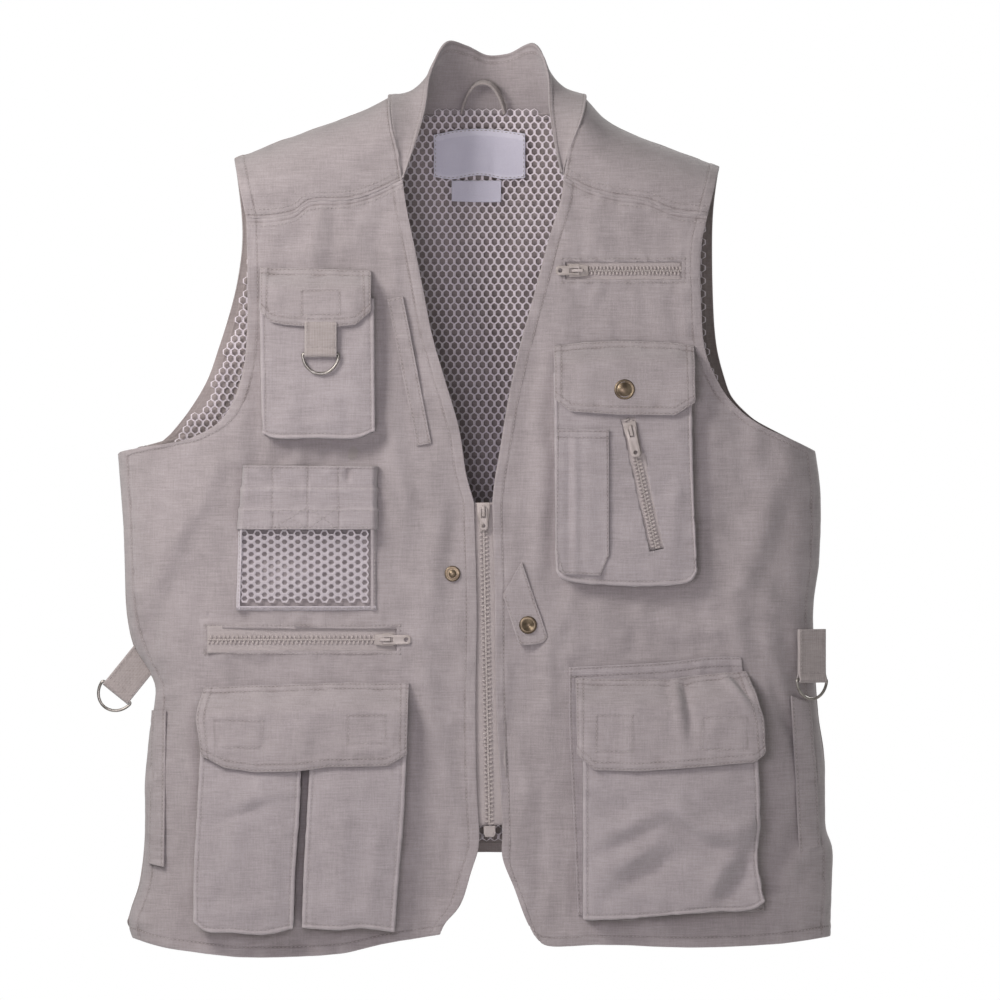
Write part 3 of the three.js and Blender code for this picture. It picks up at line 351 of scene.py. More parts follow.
class Cloth:
    """A cloth piece as a grid of points, from its outline to a finished mesh."""

    def __init__(self, name: str, outline: Outline, us: Array, vs: Array) -> None:
        """Lays the flat pattern.

        Args:
            name: The piece's name.
            outline: Its four edges.
            us: Shares across.
            vs: Shares up.
        """
        self.name = name
        self.flat = outline.patch(us, vs)
        self.us, self.vs = us, vs
        width = np.abs(np.linalg.norm(self.flat[:, -1] - self.flat[:, 0], axis=-1))[:, None]
        height = np.abs(np.linalg.norm(self.flat[-1] - self.flat[0], axis=-1))[None]
        self.distance = {
            Edge.LEFT: us[None] * width,
            Edge.RIGHT: (1 - us[None]) * width,
            Edge.BOTTOM: vs[:, None] * height,
            Edge.TOP: (1 - vs[:, None]) * height,
        }
        self.points = np.zeros((*self.flat.shape[:2], 3))
        self.height = np.zeros(self.flat.shape[:2])
        # Per-point colour marks: rubbed edges and painted highlight make it paler, painted shade in grooves
        # and hollows makes it darker.
        self.wear_and_painted_light = np.zeros(self.flat.shape[:2])

    @property
    def x(self) -> Array:
        """Flat x of every point."""
        return self.flat[..., 0]

    @property
    def z(self) -> Array:
        """Flat z of every point."""
        return self.flat[..., 1]

    def on_front(self, out: Array | float = 0.0) -> "Cloth":
        """Lays the piece on the fronts, standing out by that much."""
        self.points = TUBE.front(self.x, self.z, out)
        return self

    def on_back(self, inward: float = 0.0) -> "Cloth":
        """Lays the piece on the back, moved towards the wearer."""
        self.points = TUBE.back(self.x, self.z, inward)
        return self

    def in_space(self, order: tuple[int, int, int] = (0, 2, 1)) -> "Cloth":
        """Takes an outline of three coordinates as it is, with its columns put in x, y, z order."""
        self.points = self.flat[..., list(order)].copy()
        return self

    def lie(self, weave: Weave, edge_hold: float = 14.0, grip: tuple[Edge, ...] = tuple(Edge)) -> "Cloth":
        """Adds waves, crumple and folds, held down near the sewn edges.

        Args:
            weave: The cloth's lie.
            edge_hold: Distance over which a gripped edge lets go.
            grip: The edges that hold the cloth flat.

        Returns:
            The piece.
        """
        noise = Crumple(weave.seed)
        free = np.ones_like(self.height)
        for edge in grip:
            free *= np.clip(self.distance[edge] / edge_hold, 0, 1) ** 0.7
        low = self.flat[..., :2].min(axis=(0, 1))
        span = np.ptp(self.flat[..., :2], axis=(0, 1))
        waves = weave.wave * noise.at(self.x / weave.wave_size + 3.1, self.z / (1.6 * weave.wave_size))
        warp = 0.5 * noise.at(self.x / 40 + 9, self.z / 40)
        fine = weave.crumple * noise.at(self.x / weave.crumple_size + warp, self.z / weave.crumple_size + 5)
        finer = 0.35 * weave.crumple * noise.at(self.x / 7.0 + 17, self.z / 7.0 + warp)
        shape = waves + fine + finer + weave.drape * noise.at(self.x / 17 + 0.6 * warp, self.z / 85 + 11)
        for fold in weave.folds:
            shape = shape + fold.over(self.x, self.z, low, span)
        self.height += shape * (0.15 + 0.85 * free)
        # Paler on the crumple's raised crests: painted highlight.
        self.wear_and_painted_light += 0.25 * np.clip(fine / max(weave.crumple, 0.01), 0, 1)
        return self

    def hem(self, edges: dict[Edge, Hem], seed: int = 5) -> "Cloth":
        """Turns the given edges, with their stitch rows and puckers."""
        noise = Crumple(seed)
        for index, (edge, hem) in enumerate(edges.items()):
            distance = self.distance[edge]
            upright = edge in (Edge.LEFT, Edge.RIGHT)
            along = self.z if upright else self.x
            band = 1 / (1 + np.exp((distance - hem.width) / 0.45))
            lip = np.exp(-(distance / 0.9) ** 2)
            self.height += hem.rise * band - 0.3 * lip
            ripple = noise.at(along / hem.pitch + 7 * index, distance / 22 + 3 * index)
            crimp = noise.at(along / 3.6 + 2 * index, distance / 9)
            pull = np.exp(-((distance - hem.width) / 6) ** 2)
            self.height += (hem.pucker * ripple + 0.4 * hem.pucker * crimp) * pull
            # Paler at the folded lip (edge rubbing) and over the raised band (painted highlight); the puckers
            # get painted highlight on their crests and painted shade in their troughs.
            self.wear_and_painted_light += 0.12 * lip + 0.05 * band + 0.3 * pull * ripple
            for row in hem.rows:
                groove = np.exp(-((distance - row) / 0.7) ** 2)
                self.height -= 0.35 * groove
                # Darker in the sunk stitch row: painted shade.
                self.wear_and_painted_light -= 0.55 * groove
        return self

    def groove(self, line: Array, depth: float = 0.5, width: float = 1.2, pucker: float = 0.3,
            seed: int = 3) -> "Cloth":
        """Sinks a seam along a flat line, with the puckers beside it.

        Args:
            line: Points in x and z.
            depth: How far the seam sinks.
            width: Its half width.
            pucker: Height of the puckers.
            seed: Seed of the puckers.

        Returns:
            The piece.
        """
        best = np.full(self.height.shape, 1e9)
        along = np.zeros_like(best)
        run = 0.0
        for start, end in zip(line[:-1], line[1:]):
            step = end - start
            length = np.linalg.norm(step)
            share = np.clip(((self.flat[..., :2] - start) @ step) / length ** 2, 0, 1)
            gap = np.linalg.norm(self.flat[..., :2] - start - share[..., None] * step, axis=-1)
            nearer = gap < best
            best = np.where(nearer, gap, best)
            along = np.where(nearer, run + share * length, along)
            run += length
        ripple = Crumple(seed).at(along / 9.0, best / 25)
        beside = np.exp(-(best / 9) ** 2)
        self.height += pucker * ripple * beside - depth * np.exp(-(best / width) ** 2)
        # Painted highlight on the pucker crests beside the seam, painted shade along the sunk seam.
        self.wear_and_painted_light += 0.3 * beside * np.clip(ripple + 0.3, 0, 1) - 0.5 * np.exp(-(best / width) ** 2)
        return self

    def near(self, box: tuple[float, float, float, float], reach: float) -> Array:
        """1 inside an x0, x1, z0, z1 box, falling to 0 over that reach outside it."""
        x0, x1, z0, z1 = box
        aside = np.maximum(np.maximum(x0 - self.x, self.x - x1), 0)
        above = np.maximum(np.maximum(z0 - self.z, self.z - z1), 0)
        return np.exp(-(np.hypot(aside, above) / reach) ** 2)

    def normals(self) -> Array:
        """Unit normals of the grid, pointing out of the garment's face."""
        across = np.gradient(self.points, axis=1)
        up = np.gradient(self.points, axis=0)
        normal = np.cross(across, up)
        return normal / np.maximum(np.linalg.norm(normal, axis=-1, keepdims=True), 1e-9)

    def settle(self, face_out: int = 1) -> "Cloth":
        """Moves every point by its height along the surface's normal, once."""
        self.points = self.points + face_out * self.normals() * self.height[..., None]
        self.height = np.zeros_like(self.height)
        return self

    def trace(self, edge: Edge, inset: float, trim: float = 1.5, proud: float = 0.15) -> Array:
        """The line at a distance inside an edge, on the settled surface.

        Args:
            edge: The edge.
            inset: Distance inside it.
            trim: Distance left free at both ends.
            proud: Height over the surface.

        Returns:
            Points in pattern millimetres.
        """
        raised = self.points + self.normals() * (proud + 0.5 * POCKET_CLOTH)
        distance = self.distance[edge]
        if edge in (Edge.BOTTOM, Edge.TOP):
            raised, distance = raised.transpose(1, 0, 2), distance.T
            ends = self.distance[Edge.LEFT], self.distance[Edge.RIGHT]
            row = int(np.argmin(np.abs(self.distance[edge][:, 0] - inset)))
            keep = (ends[0][row] >= trim) & (ends[1][row] >= trim)
        else:
            ends = self.distance[Edge.BOTTOM], self.distance[Edge.TOP]
            column = int(np.argmin(np.abs(self.distance[edge][0] - inset)))
            keep = (ends[0][:, column] >= trim) & (ends[1][:, column] >= trim)
        if edge in (Edge.RIGHT, Edge.TOP):
            raised, distance = raised[:, ::-1], distance[:, ::-1]
        rising = np.maximum.accumulate(distance, axis=1)
        line = [
            [np.interp(inset, reach, places[:, axis]) for axis in range(3)]
            for reach, places in zip(rising, raised)
        ]
        return np.array(line)[keep]

    def follow(self, line: Array, proud: float = 0.15) -> Array:
        """Drops a flat x, z line onto the settled surface, by its nearest grid points."""
        raised = (self.points + self.normals() * (proud + 0.5 * POCKET_CLOTH)).reshape(-1, 3)
        flat = self.flat[..., :2].reshape(-1, 2)
        found = []
        for place in line:
            gap = np.linalg.norm(flat - place, axis=1)
            near = np.argpartition(gap, 4)[:4]
            weight = 1 / (gap[near] + 0.05)
            y = float((raised[near, 1] * weight).sum() / weight.sum())
            found.append((place[0], y, place[1]))
        return np.array(found)

    def mesh(self, thickness: float, face_out: int = 1) -> Thing:
        """Makes the piece's object, with its thickness as a modifier.

        Args:
            thickness: Cloth thickness in millimetres.
            face_out: 1, or -1 where the grid's normals point inwards.

        Returns:
            The object.
        """
        rows, columns = self.points.shape[:2]
        index = np.arange(rows * columns).reshape(rows, columns)
        quads = np.stack([index[:-1, :-1], index[:-1, 1:], index[1:, 1:], index[1:, :-1]],
            axis=-1).reshape(-1, 4)
        if face_out < 0:
            quads = quads[:, ::-1]
        data = bpy.data.meshes.new(self.name)
        data.from_pydata(to_row(self.points).reshape(-1, 3).tolist(), [], quads.tolist())
        data.polygons.foreach_set("use_smooth", np.ones(len(data.polygons), bool))
        # The colour marks: rubbed edges, painted highlight and painted shade.
        wear_and_painted_light = data.attributes.new("wear_and_painted_light", "FLOAT", "POINT")
        wear_and_painted_light.data.foreach_set("value", np.clip(self.wear_and_painted_light, -1, 1).astype(np.float32).ravel())
        layer = data.uv_layers.new(name="cloth")
        across = (self.us[None] * np.ptp(self.flat[..., 0]) * np.ones((rows, 1))).ravel()
        up = (self.vs[:, None] * np.ptp(self.flat[..., 1]) * np.ones((1, columns))).ravel()
        loops = np.empty(len(data.loops), int)
        data.loops.foreach_get("vertex_index", loops)
        layer.data.foreach_set("uv", (np.stack([across, up], axis=-1)[loops] * MM * 10).ravel())
        piece = link(self.name, data)
        thicken(piece, thickness)
        return piece


def link(name: str, data: MeshData) -> Thing:
    """An object of that mesh in the scene."""
    piece = bpy.data.objects.new(name, data)
    bpy.context.scene.collection.objects.link(piece)
    return piece


def thicken(piece: Thing, thickness: float) -> None:
    """Gives a cloth sheet its thickness, half to each side."""
    solidify = piece.modifiers.new("thickness", "SOLIDIFY")
    solidify.thickness = thickness * MM
    solidify.offset = 0.0


def cut_window(piece: Thing, corners: Points, y_reach: tuple[float, float]) -> None:
    """Cuts a clean four-sided hole through a sheet that faces the front.

    Args:
        piece: The sheet, before its modifiers are used.
        corners: The hole's corners in x and z, in turn.
        y_reach: The span of y in which the sheet is cut.
    """
    work = bmesh.new()
    work.from_mesh(piece.data)
    ring = [Vector(to_row(np.array([x, 0, z]))) for x, z in corners]
    centre = sum(ring, Vector()) / len(ring)
    near, far = (y - HOOK[1] for y in y_reach)
    planes = []
    for start, end in zip(ring, ring[1:] + ring[:1]):
        side = (end - start).normalized()
        normal = Vector((side.z, 0, -side.x))
        if normal.dot(centre - start) > 0:
            normal.negate()
        planes.append((start, normal))
    reach = max((corner - centre).length for corner in ring) + 0.01
    for start, normal in planes:
        faces = [
            face for face in work.faces
            if near * MM <= face.calc_center_median().y <= far * MM
            and (face.calc_center_median() - centre).xz.length < reach
        ]
        edges = list({edge for face in faces for edge in face.edges})
        verts = list({vert for face in faces for vert in face.verts})
        bmesh.ops.bisect_plane(work, geom=faces + edges + verts, plane_co=start, plane_no=normal)
    doomed = [
        face for face in work.faces
        if near * MM <= face.calc_center_median().y <= far * MM
        and all((face.calc_center_median() - start).dot(normal) < 0 for start, normal in planes)
    ]
    bmesh.ops.delete(work, geom=doomed, context="FACES")
    work.to_mesh(piece.data)
    work.free()


# ---------------------------------------------------------------- shader groups and finishes
class Group:
    """Builds a shader node group from named inputs and outputs."""

    def __init__(self, name: str, inputs: dict[str, float], outputs: tuple[str, ...]) -> None:
        """Makes the tree and its sockets."""
        self.tree = bpy.data.node_groups.new(name, "ShaderNodeTree")
        self.tree.interface.new_socket("Vector", in_out="INPUT", socket_type="NodeSocketVector")
        for label, value in inputs.items():
            socket = self.tree.interface.new_socket(label, in_out="INPUT", socket_type="NodeSocketFloat")
            socket.default_value = value
        for label in outputs:
            self.tree.interface.new_socket(label, in_out="OUTPUT", socket_type="NodeSocketFloat")
        self.source = self.tree.nodes.new("NodeGroupInput")
        self.sink = self.tree.nodes.new("NodeGroupOutput")

    def node(self, kind: str, **settings: object) -> bpy.types.Node:
        """A node, its plain properties set by name."""
        made = self.tree.nodes.new(kind)
        for label, value in settings.items():
            setattr(made, label, value)
        return made

    def noise(self, scale: float | Socket, detail: float, vector: Socket | None = None) -> Socket:
        """A noise value over the group's vector."""
        made = self.node("ShaderNodeTexNoise")
        made.inputs["Detail"].default_value = detail
        self.feed(made.inputs["Scale"], scale)
        self.tree.links.new(vector or self.source.outputs["Vector"], made.inputs["Vector"])
        return made.outputs["Fac"]

    def streaks(self, stretch: tuple[float, float, float]) -> Socket:
        """Noise drawn out into threads, by a stretch for each axis."""
        scaled = self.node("ShaderNodeVectorMath", operation="MULTIPLY")
        self.tree.links.new(self.source.outputs["Vector"], scaled.inputs[0])
        scaled.inputs[1].default_value = stretch
        return self.noise(1.0, 2.0, scaled.outputs["Vector"])

    def bands(self, direction: str, scale: float | Socket) -> Socket:
        """Even bands over the group's vector."""
        made = self.node("ShaderNodeTexWave", bands_direction=direction)
        made.inputs["Distortion"].default_value = 0.6
        made.inputs["Detail Scale"].default_value = 2.0
        self.feed(made.inputs["Scale"], scale)
        self.tree.links.new(self.source.outputs["Vector"], made.inputs["Vector"])
        return made.outputs["Fac"]

    def feed(self, socket: Socket, value: float | Socket) -> None:
        """Sets or links one input."""
        if isinstance(value, Socket):
            self.tree.links.new(value, socket)
        else:
            socket.default_value = value

    def math(self, operation: str, a: float | Socket, b: float | Socket) -> Socket:
        """One arithmetic step."""
        made = self.node("ShaderNodeMath", operation=operation)
        self.feed(made.inputs[0], a)
        self.feed(made.inputs[1], b)
        return made.outputs[0]


def woven_group() -> bpy.types.NodeTree:
    """Woven cloth: threads both ways, slubs and broad washing marks. Puts out Tone and Height."""
    group = Group("woven_cloth", {"Thread Scale": 420.0, "Slub": 0.5, "Mottle": 0.5}, ("Tone", "Height"))
    thread = group.source.outputs["Thread Scale"]
    threads = group.math("MAXIMUM", group.bands("X", thread), group.bands("Z", thread))
    fleck = group.noise(900.0, 2.0)
    weft, warp = group.streaks((70.0, 70.0, 1100.0)), group.streaks((1100.0, 300.0, 80.0))
    slub = group.math("ADD", group.math("MULTIPLY", weft, 0.6), group.math("MULTIPLY", warp, 0.4))
    mottle = group.noise(14.0, 4.0)
    bloom = group.noise(55.0, 3.0)
    grain = group.math("MULTIPLY", group.math("SUBTRACT", slub, 0.5),
        group.math("MULTIPLY", group.source.outputs["Slub"], 2.6))
    wash = group.math("MULTIPLY", group.math("SUBTRACT", mottle, 0.5), group.source.outputs["Mottle"])
    wash_fine = group.math("MULTIPLY", group.math("SUBTRACT", bloom, 0.5), 0.35)
    speck = group.math("MULTIPLY", group.math("SUBTRACT", fleck, 0.5), 0.5)
    tone = group.math("ADD", group.math("ADD", grain, wash), group.math("ADD", wash_fine, speck))
    links = group.tree.links
    links.new(group.math("ADD", tone, 0.5), group.sink.inputs["Tone"])
    height = group.math("ADD", group.math("MULTIPLY", threads, 0.5), group.math("MULTIPLY", slub, 0.9))
    links.new(group.math("ADD", height, group.math("MULTIPLY", fleck, 0.5)), group.sink.inputs["Height"])
    return group.tree


def patina_group() -> bpy.types.NodeTree:
    """Aged metal: cloudy tarnish and fine scuffs. Puts out Tarnish, Scuff and Height."""
    group = Group("metal_patina", {"Cloud Scale": 120.0, "Scuff Scale": 700.0},
        ("Tarnish", "Scuff", "Height"))
    cloud = group.noise(group.source.outputs["Cloud Scale"], 4.0)
    scuff = group.noise(group.source.outputs["Scuff Scale"], 5.0)
    links = group.tree.links
    links.new(cloud, group.sink.inputs["Tarnish"])
    links.new(scuff, group.sink.inputs["Scuff"])
    links.new(group.math("ADD", group.math("MULTIPLY", cloud, 0.4), scuff), group.sink.inputs["Height"])
    return group.tree


class Shade:
    """A material under construction, with its Principled BSDF."""

    def __init__(self, name: str, roughness: float, metallic: float = 0.0) -> None:
        """Makes the material and sets its uniform values."""
        self.material = bpy.data.materials.new(name)
        self.material.use_nodes = True
        self.tree = self.material.node_tree
        self.surface = self.tree.nodes["Principled BSDF"]
        self.surface.inputs["Roughness"].default_value = roughness
        self.surface.inputs["Metallic"].default_value = metallic
        self.place = self.tree.nodes.new("ShaderNodeTexCoord")

    def group(self, tree: bpy.types.NodeTree, vector: str = "Object", **values: float) -> bpy.types.Node:
        """Places a group over Object or UV coordinates, with its own values."""
        made = self.tree.nodes.new("ShaderNodeGroup")
        made.node_tree = tree
        for label, value in values.items():
            made.inputs[label.replace("_", " ")].default_value = value
        self.tree.links.new(self.place.outputs[vector], made.inputs["Vector"])
        return made

    def mix(self, share: Socket, a: object, b: object) -> Socket:
        """Mixes two colours, each a colour or a socket."""
        made = self.tree.nodes.new("ShaderNodeMix")
        made.data_type = "RGBA"
        self.tree.links.new(share, made.inputs["Factor"])
        for socket, value in ((made.inputs[6], a), (made.inputs[7], b)):
            if isinstance(value, Socket):
                self.tree.links.new(value, socket)
            else:
                socket.default_value = (*value, 1.0)
        return made.outputs[2]

    def ramp(self, value: Socket, low: float, high: float) -> Socket:
        """Stretches a value from low..high to 0..1."""
        made = self.tree.nodes.new("ShaderNodeMapRange")
        self.tree.links.new(value, made.inputs["Value"])
        made.inputs["From Min"].default_value = low
        made.inputs["From Max"].default_value = high
        return made.outputs["Result"]

    def attribute(self, name: str) -> Socket:
        """A value stored on the piece's own points."""
        made = self.tree.nodes.new("ShaderNodeAttribute")
        made.attribute_name = name
        return made.outputs["Fac"]

    def finish(self, colour: Socket, height: Socket, strength: float, distance: float) -> bpy.types.Material:
        """Links colour and bump, and returns the material."""
        bump = self.tree.nodes.new("ShaderNodeBump")
        bump.inputs["Strength"].default_value = strength
        bump.inputs["Distance"].default_value = distance
        self.tree.links.new(height, bump.inputs["Height"])
        self.tree.links.new(bump.outputs["Normal"], self.surface.inputs["Normal"])
        self.tree.links.new(colour, self.surface.inputs["Base Color"])
        return self.material


Colour = tuple[float, float, float]


@dataclass(frozen=True)
class ClothFinish:
    """A washed woven cloth, paler along rubbed edges and with painted highlight on raised ridges and puckers,
    darker with painted shade in seams, stitch grooves and creases.
    """

    name: str
    dark: Colour
    light: Colour
    worn_and_painted_highlight: Colour
    painted_shade: Colour
    thread_scale: float = 420.0
    slub: float = 0.55
    mottle: float = 0.5
    sheen: float = 0.25

    def make(self, woven: bpy.types.NodeTree) -> bpy.types.Material:
        """Builds the material."""
        shade = Shade(self.name, 0.93)
        shade.surface.inputs["Sheen Weight"].default_value = self.sheen
        shade.surface.inputs["Sheen Roughness"].default_value = 0.6
        shade.surface.inputs["Specular IOR Level"].default_value = 0.18
        grain = shade.group(woven, Thread_Scale=self.thread_scale, Slub=self.slub, Mottle=self.mottle)
        base = shade.mix(grain.outputs["Tone"], self.dark, self.light)
        # Positive marks mix towards the pale colour: rubbed edges plus painted highlight on ridges and
        # puckers. Negative marks mix towards the dark colour: painted shade in seams, stitch grooves, creases
        # and along pouch walls.
        wear_and_painted_light = shade.attribute("wear_and_painted_light")
        paler = shade.mix(shade.ramp(wear_and_painted_light, 0.0, 1.5), base, self.worn_and_painted_highlight)
        colour = shade.mix(shade.ramp(wear_and_painted_light, -0.1, -0.9), paler, self.painted_shade)
        return shade.finish(colour, grain.outputs["Height"], 0.6, 0.0005)


@dataclass(frozen=True)
class MetalFinish:
    """An aged metal, its colour mixed between dark and bright by a cloudy tarnish, its roughness varied by
    scuffs.
    """

    name: str
    dark: Colour
    bright: Colour
    roughness: float = 0.38
    metallic: float = 0.9

    def make(self, patina: bpy.types.NodeTree) -> bpy.types.Material:
        """Builds the material."""
        shade = Shade(self.name, self.roughness, self.metallic)
        marks = shade.group(patina)
        colour = shade.mix(shade.ramp(marks.outputs["Tarnish"], 0.35, 0.7), self.dark, self.bright)
        rough = shade.tree.nodes.new("ShaderNodeMapRange")
        shade.tree.links.new(marks.outputs["Scuff"], rough.inputs["Value"])
        rough.inputs["To Min"].default_value = self.roughness - 0.1
        rough.inputs["To Max"].default_value = self.roughness + 0.25
        shade.tree.links.new(rough.outputs["Result"], shade.surface.inputs["Roughness"])
        return shade.finish(colour, marks.outputs["Height"], 0.15, 0.0002)


class Finishes:
    """Every material of the vest."""

    def __init__(self) -> None:
        """Builds the groups once, then each finish."""
        woven, patina = woven_group(), patina_group()
        self.shell = ClothFinish(
            "khaki_shell_cloth", (0.228, 0.198, 0.194), (0.380, 0.334, 0.334), (0.47, 0.415, 0.41),
            (0.16, 0.13, 0.125)).make(woven)
        self.pocket = ClothFinish(
            "khaki_pocket_cloth", (0.234, 0.204, 0.203), (0.392, 0.347, 0.351), (0.48, 0.425, 0.425),
            (0.16, 0.13, 0.13)).make(woven)
        # A darker copy of the shell cloth: painted shade, so the back seen through the net holes looks
        # shaded.
        self.back = ClothFinish(
            "khaki_back_cloth_painted_shade", (0.225, 0.19, 0.18), (0.375, 0.32, 0.31), (0.45, 0.4, 0.39),
            (0.15, 0.125, 0.12)).make(woven)
        self.bag = ClothFinish(
            "pocket_bag_cloth", (0.27, 0.24, 0.225), (0.33, 0.295, 0.28), (0.4, 0.36, 0.34),
            (0.2, 0.17, 0.16)).make(woven)
        # A brighter copy of the pocket net: painted light that offsets the shade inside the back.
        self.net = ClothFinish(
            "polyester_net_painted_light", (0.66, 0.59, 0.625), (0.80, 0.72, 0.755), (0.84, 0.77, 0.8), (0.5, 0.45, 0.48),
            thread_scale=1300.0, slub=0.4, sheen=0.35).make(woven)
        self.pocket_net = ClothFinish(
            "pocket_net", (0.42, 0.375, 0.395), (0.54, 0.485, 0.505), (0.6, 0.55, 0.57), (0.32, 0.28, 0.3),
            thread_scale=1300.0, slub=0.4, sheen=0.35).make(woven)
        self.tape = ClothFinish(
            "zip_tape", (0.34, 0.295, 0.285), (0.44, 0.385, 0.372), (0.52, 0.47, 0.45), (0.26, 0.22, 0.205),
            thread_scale=900.0, mottle=0.25).make(woven)
        self.webbing = ClothFinish(
            "khaki_webbing", (0.25, 0.215, 0.20), (0.38, 0.33, 0.315), (0.5, 0.45, 0.43), (0.17, 0.14, 0.13),
            thread_scale=620.0, slub=0.8).make(woven)
        self.label = ClothFinish(
            "satin_label", (0.60, 0.57, 0.66), (0.70, 0.67, 0.76), (0.8, 0.77, 0.85), (0.42, 0.39, 0.5),
            thread_scale=1500.0, slub=0.2, mottle=0.2, sheen=0.5).make(woven)
        self.thread = ClothFinish(
            "sewing_thread", (0.34, 0.295, 0.275), (0.45, 0.40, 0.38), (0.5, 0.45, 0.43), (0.3, 0.26, 0.24),
            thread_scale=2000.0).make(woven)
        self.teeth = ClothFinish(
            "moulded_teeth", (0.40, 0.35, 0.33), (0.48, 0.425, 0.40), (0.52, 0.48, 0.46), (0.3, 0.26, 0.24),
            thread_scale=2500.0, slub=0.15, sheen=0.0).make(woven)
        self.dark_metal = MetalFinish("antique_dark_metal", (0.15, 0.135, 0.12), (0.42, 0.39, 0.35),
            0.3).make(patina)
        self.brass = MetalFinish("antique_brass", (0.085, 0.062, 0.042), (0.24, 0.185, 0.125),
            0.34).make(patina)
        self.painted = MetalFinish("painted_zip_metal", (0.30, 0.26, 0.235), (0.40, 0.35, 0.325), 0.42,
            0.25).make(patina)


# ---------------------------------------------------------------- geometry node tools
class Tool:
    """A Geometry Nodes tree built from named inputs and used on one object at a time."""

    def __init__(self, name: str, inputs: dict[str, tuple[str, object]]) -> None:
        """Makes the tree with its geometry sockets and the named inputs."""
        self.tree = bpy.data.node_groups.new(name, "GeometryNodeTree")
        face = self.tree.interface
        face.new_socket("Geometry", in_out="INPUT", socket_type="NodeSocketGeometry")
        for label, (kind, value) in inputs.items():
            socket = face.new_socket(label, in_out="INPUT", socket_type=kind)
            if value is not None:
                socket.default_value = value
        face.new_socket("Geometry", in_out="OUTPUT", socket_type="NodeSocketGeometry")
        self.source = self.tree.nodes.new("NodeGroupInput")
        self.sink = self.tree.nodes.new("NodeGroupOutput")

    def node(self, kind: str, links: dict[str, object] | None = None, **settings: object) -> bpy.types.Node:
        """A node with its properties set and its inputs linked or valued."""
        made = self.tree.nodes.new(kind)
        for label, value in settings.items():
            setattr(made, label, value)
        for label, value in (links or {}).items():
            socket = made.inputs[label]
            if isinstance(value, Socket):
                self.tree.links.new(value, socket)
            else:
                socket.default_value = value
        return made

    def end(self, geometry: Socket) -> None:
        """Realizes the instances and sets the material at the tree's end."""
        real = self.node("GeometryNodeRealizeInstances", {"Geometry": geometry})
        dressed = self.node("GeometryNodeSetMaterial", {
            "Geometry": real.outputs["Geometry"], "Material": self.source.outputs["Material"]})
        self.tree.links.new(dressed.outputs["Geometry"], self.sink.inputs["Geometry"])

    def bake(self, name: str, base: MeshData, values: dict[str, object]) -> Thing:
        """Runs the tree over a mesh and keeps the result as a plain object.

        Args:
            name: The new piece's name.
            base: The mesh that feeds the tree.
            values: Values of the named inputs.

        Returns:
            The plain object.
        """
        carrier = link(f"{name}_base", base)
        modifier = carrier.modifiers.new("tool", "NODES")
        modifier.node_group = self.tree
        for item in self.tree.interface.items_tree:
            if item.item_type == "SOCKET" and item.in_out == "INPUT" and item.name in values:
                modifier[item.identifier] = values[item.name]
        bpy.context.view_layer.update()
        graph = bpy.context.evaluated_depsgraph_get()
        result = bpy.data.meshes.new_from_object(carrier.evaluated_get(graph), depsgraph=graph)
        result.name = name
        bpy.data.objects.remove(carrier, do_unlink=True)
        result.polygons.foreach_set("use_smooth", np.ones(len(result.polygons), bool))
        return link(name, result)


def stitch_tool() -> Tool:
    """Lays short thread stitches end to end along edge lines."""
    tool = Tool("stitch_rows", {
        "Pitch": ("NodeSocketFloat", 0.0032), "Length": ("NodeSocketFloat", 0.0024),
        "Thread": ("NodeSocketFloat", 0.00055), "Seed": ("NodeSocketInt", 7),
        "Material": ("NodeSocketMaterial", None)})
    source = tool.source.outputs
    curve = tool.node("GeometryNodeMeshToCurve", {"Mesh": source["Geometry"]})
    spaced = tool.node("GeometryNodeResampleCurve", {"Curve": curve.outputs["Curve"],
        "Length": source["Pitch"]}, mode="LENGTH")
    bead = tool.node("GeometryNodeMeshIcoSphere", {"Radius": 0.5, "Subdivisions": 1})
    tangent = tool.node("GeometryNodeInputTangent")
    turn = tool.node("FunctionNodeAlignRotationToVector", {"Vector": tangent.outputs["Tangent"]}, axis="X")
    size = tool.node("ShaderNodeCombineXYZ", {"X": source["Length"], "Y": source["Thread"],
        "Z": source["Thread"]})
    vary = tool.node("FunctionNodeRandomValue", {"Seed": source["Seed"]}, data_type="FLOAT")
    vary.inputs[2].default_value, vary.inputs[3].default_value = 0.85, 1.1
    scaled = tool.node("ShaderNodeVectorMath", operation="SCALE")
    tool.tree.links.new(size.outputs["Vector"], scaled.inputs[0])
    tool.tree.links.new(vary.outputs[1], scaled.inputs["Scale"])
    laid = tool.node("GeometryNodeInstanceOnPoints", {
        "Points": spaced.outputs["Curve"], "Instance": bead.outputs["Mesh"],
        "Rotation": turn.outputs["Rotation"], "Scale": scaled.outputs["Vector"]})
    tool.end(laid.outputs["Instances"])
    return tool


def teeth_tool() -> Tool:
    """Sets a row of zip teeth along edge lines."""
    tool = Tool("zip_teeth", {
        "Pitch": ("NodeSocketFloat", 0.0021), "Tooth": ("NodeSocketObject", None),
        "Material": ("NodeSocketMaterial", None)})
    source = tool.source.outputs
    curve = tool.node("GeometryNodeMeshToCurve", {"Mesh": source["Geometry"]})
    spaced = tool.node("GeometryNodeResampleCurve", {"Curve": curve.outputs["Curve"],
        "Length": source["Pitch"]}, mode="LENGTH")
    tooth = tool.node("GeometryNodeObjectInfo", {"Object": source["Tooth"]})
    laid = tool.node("GeometryNodeInstanceOnPoints", {
        "Points": spaced.outputs["Curve"], "Instance": tooth.outputs["Geometry"]})
    tool.end(laid.outputs["Instances"])
    return tool


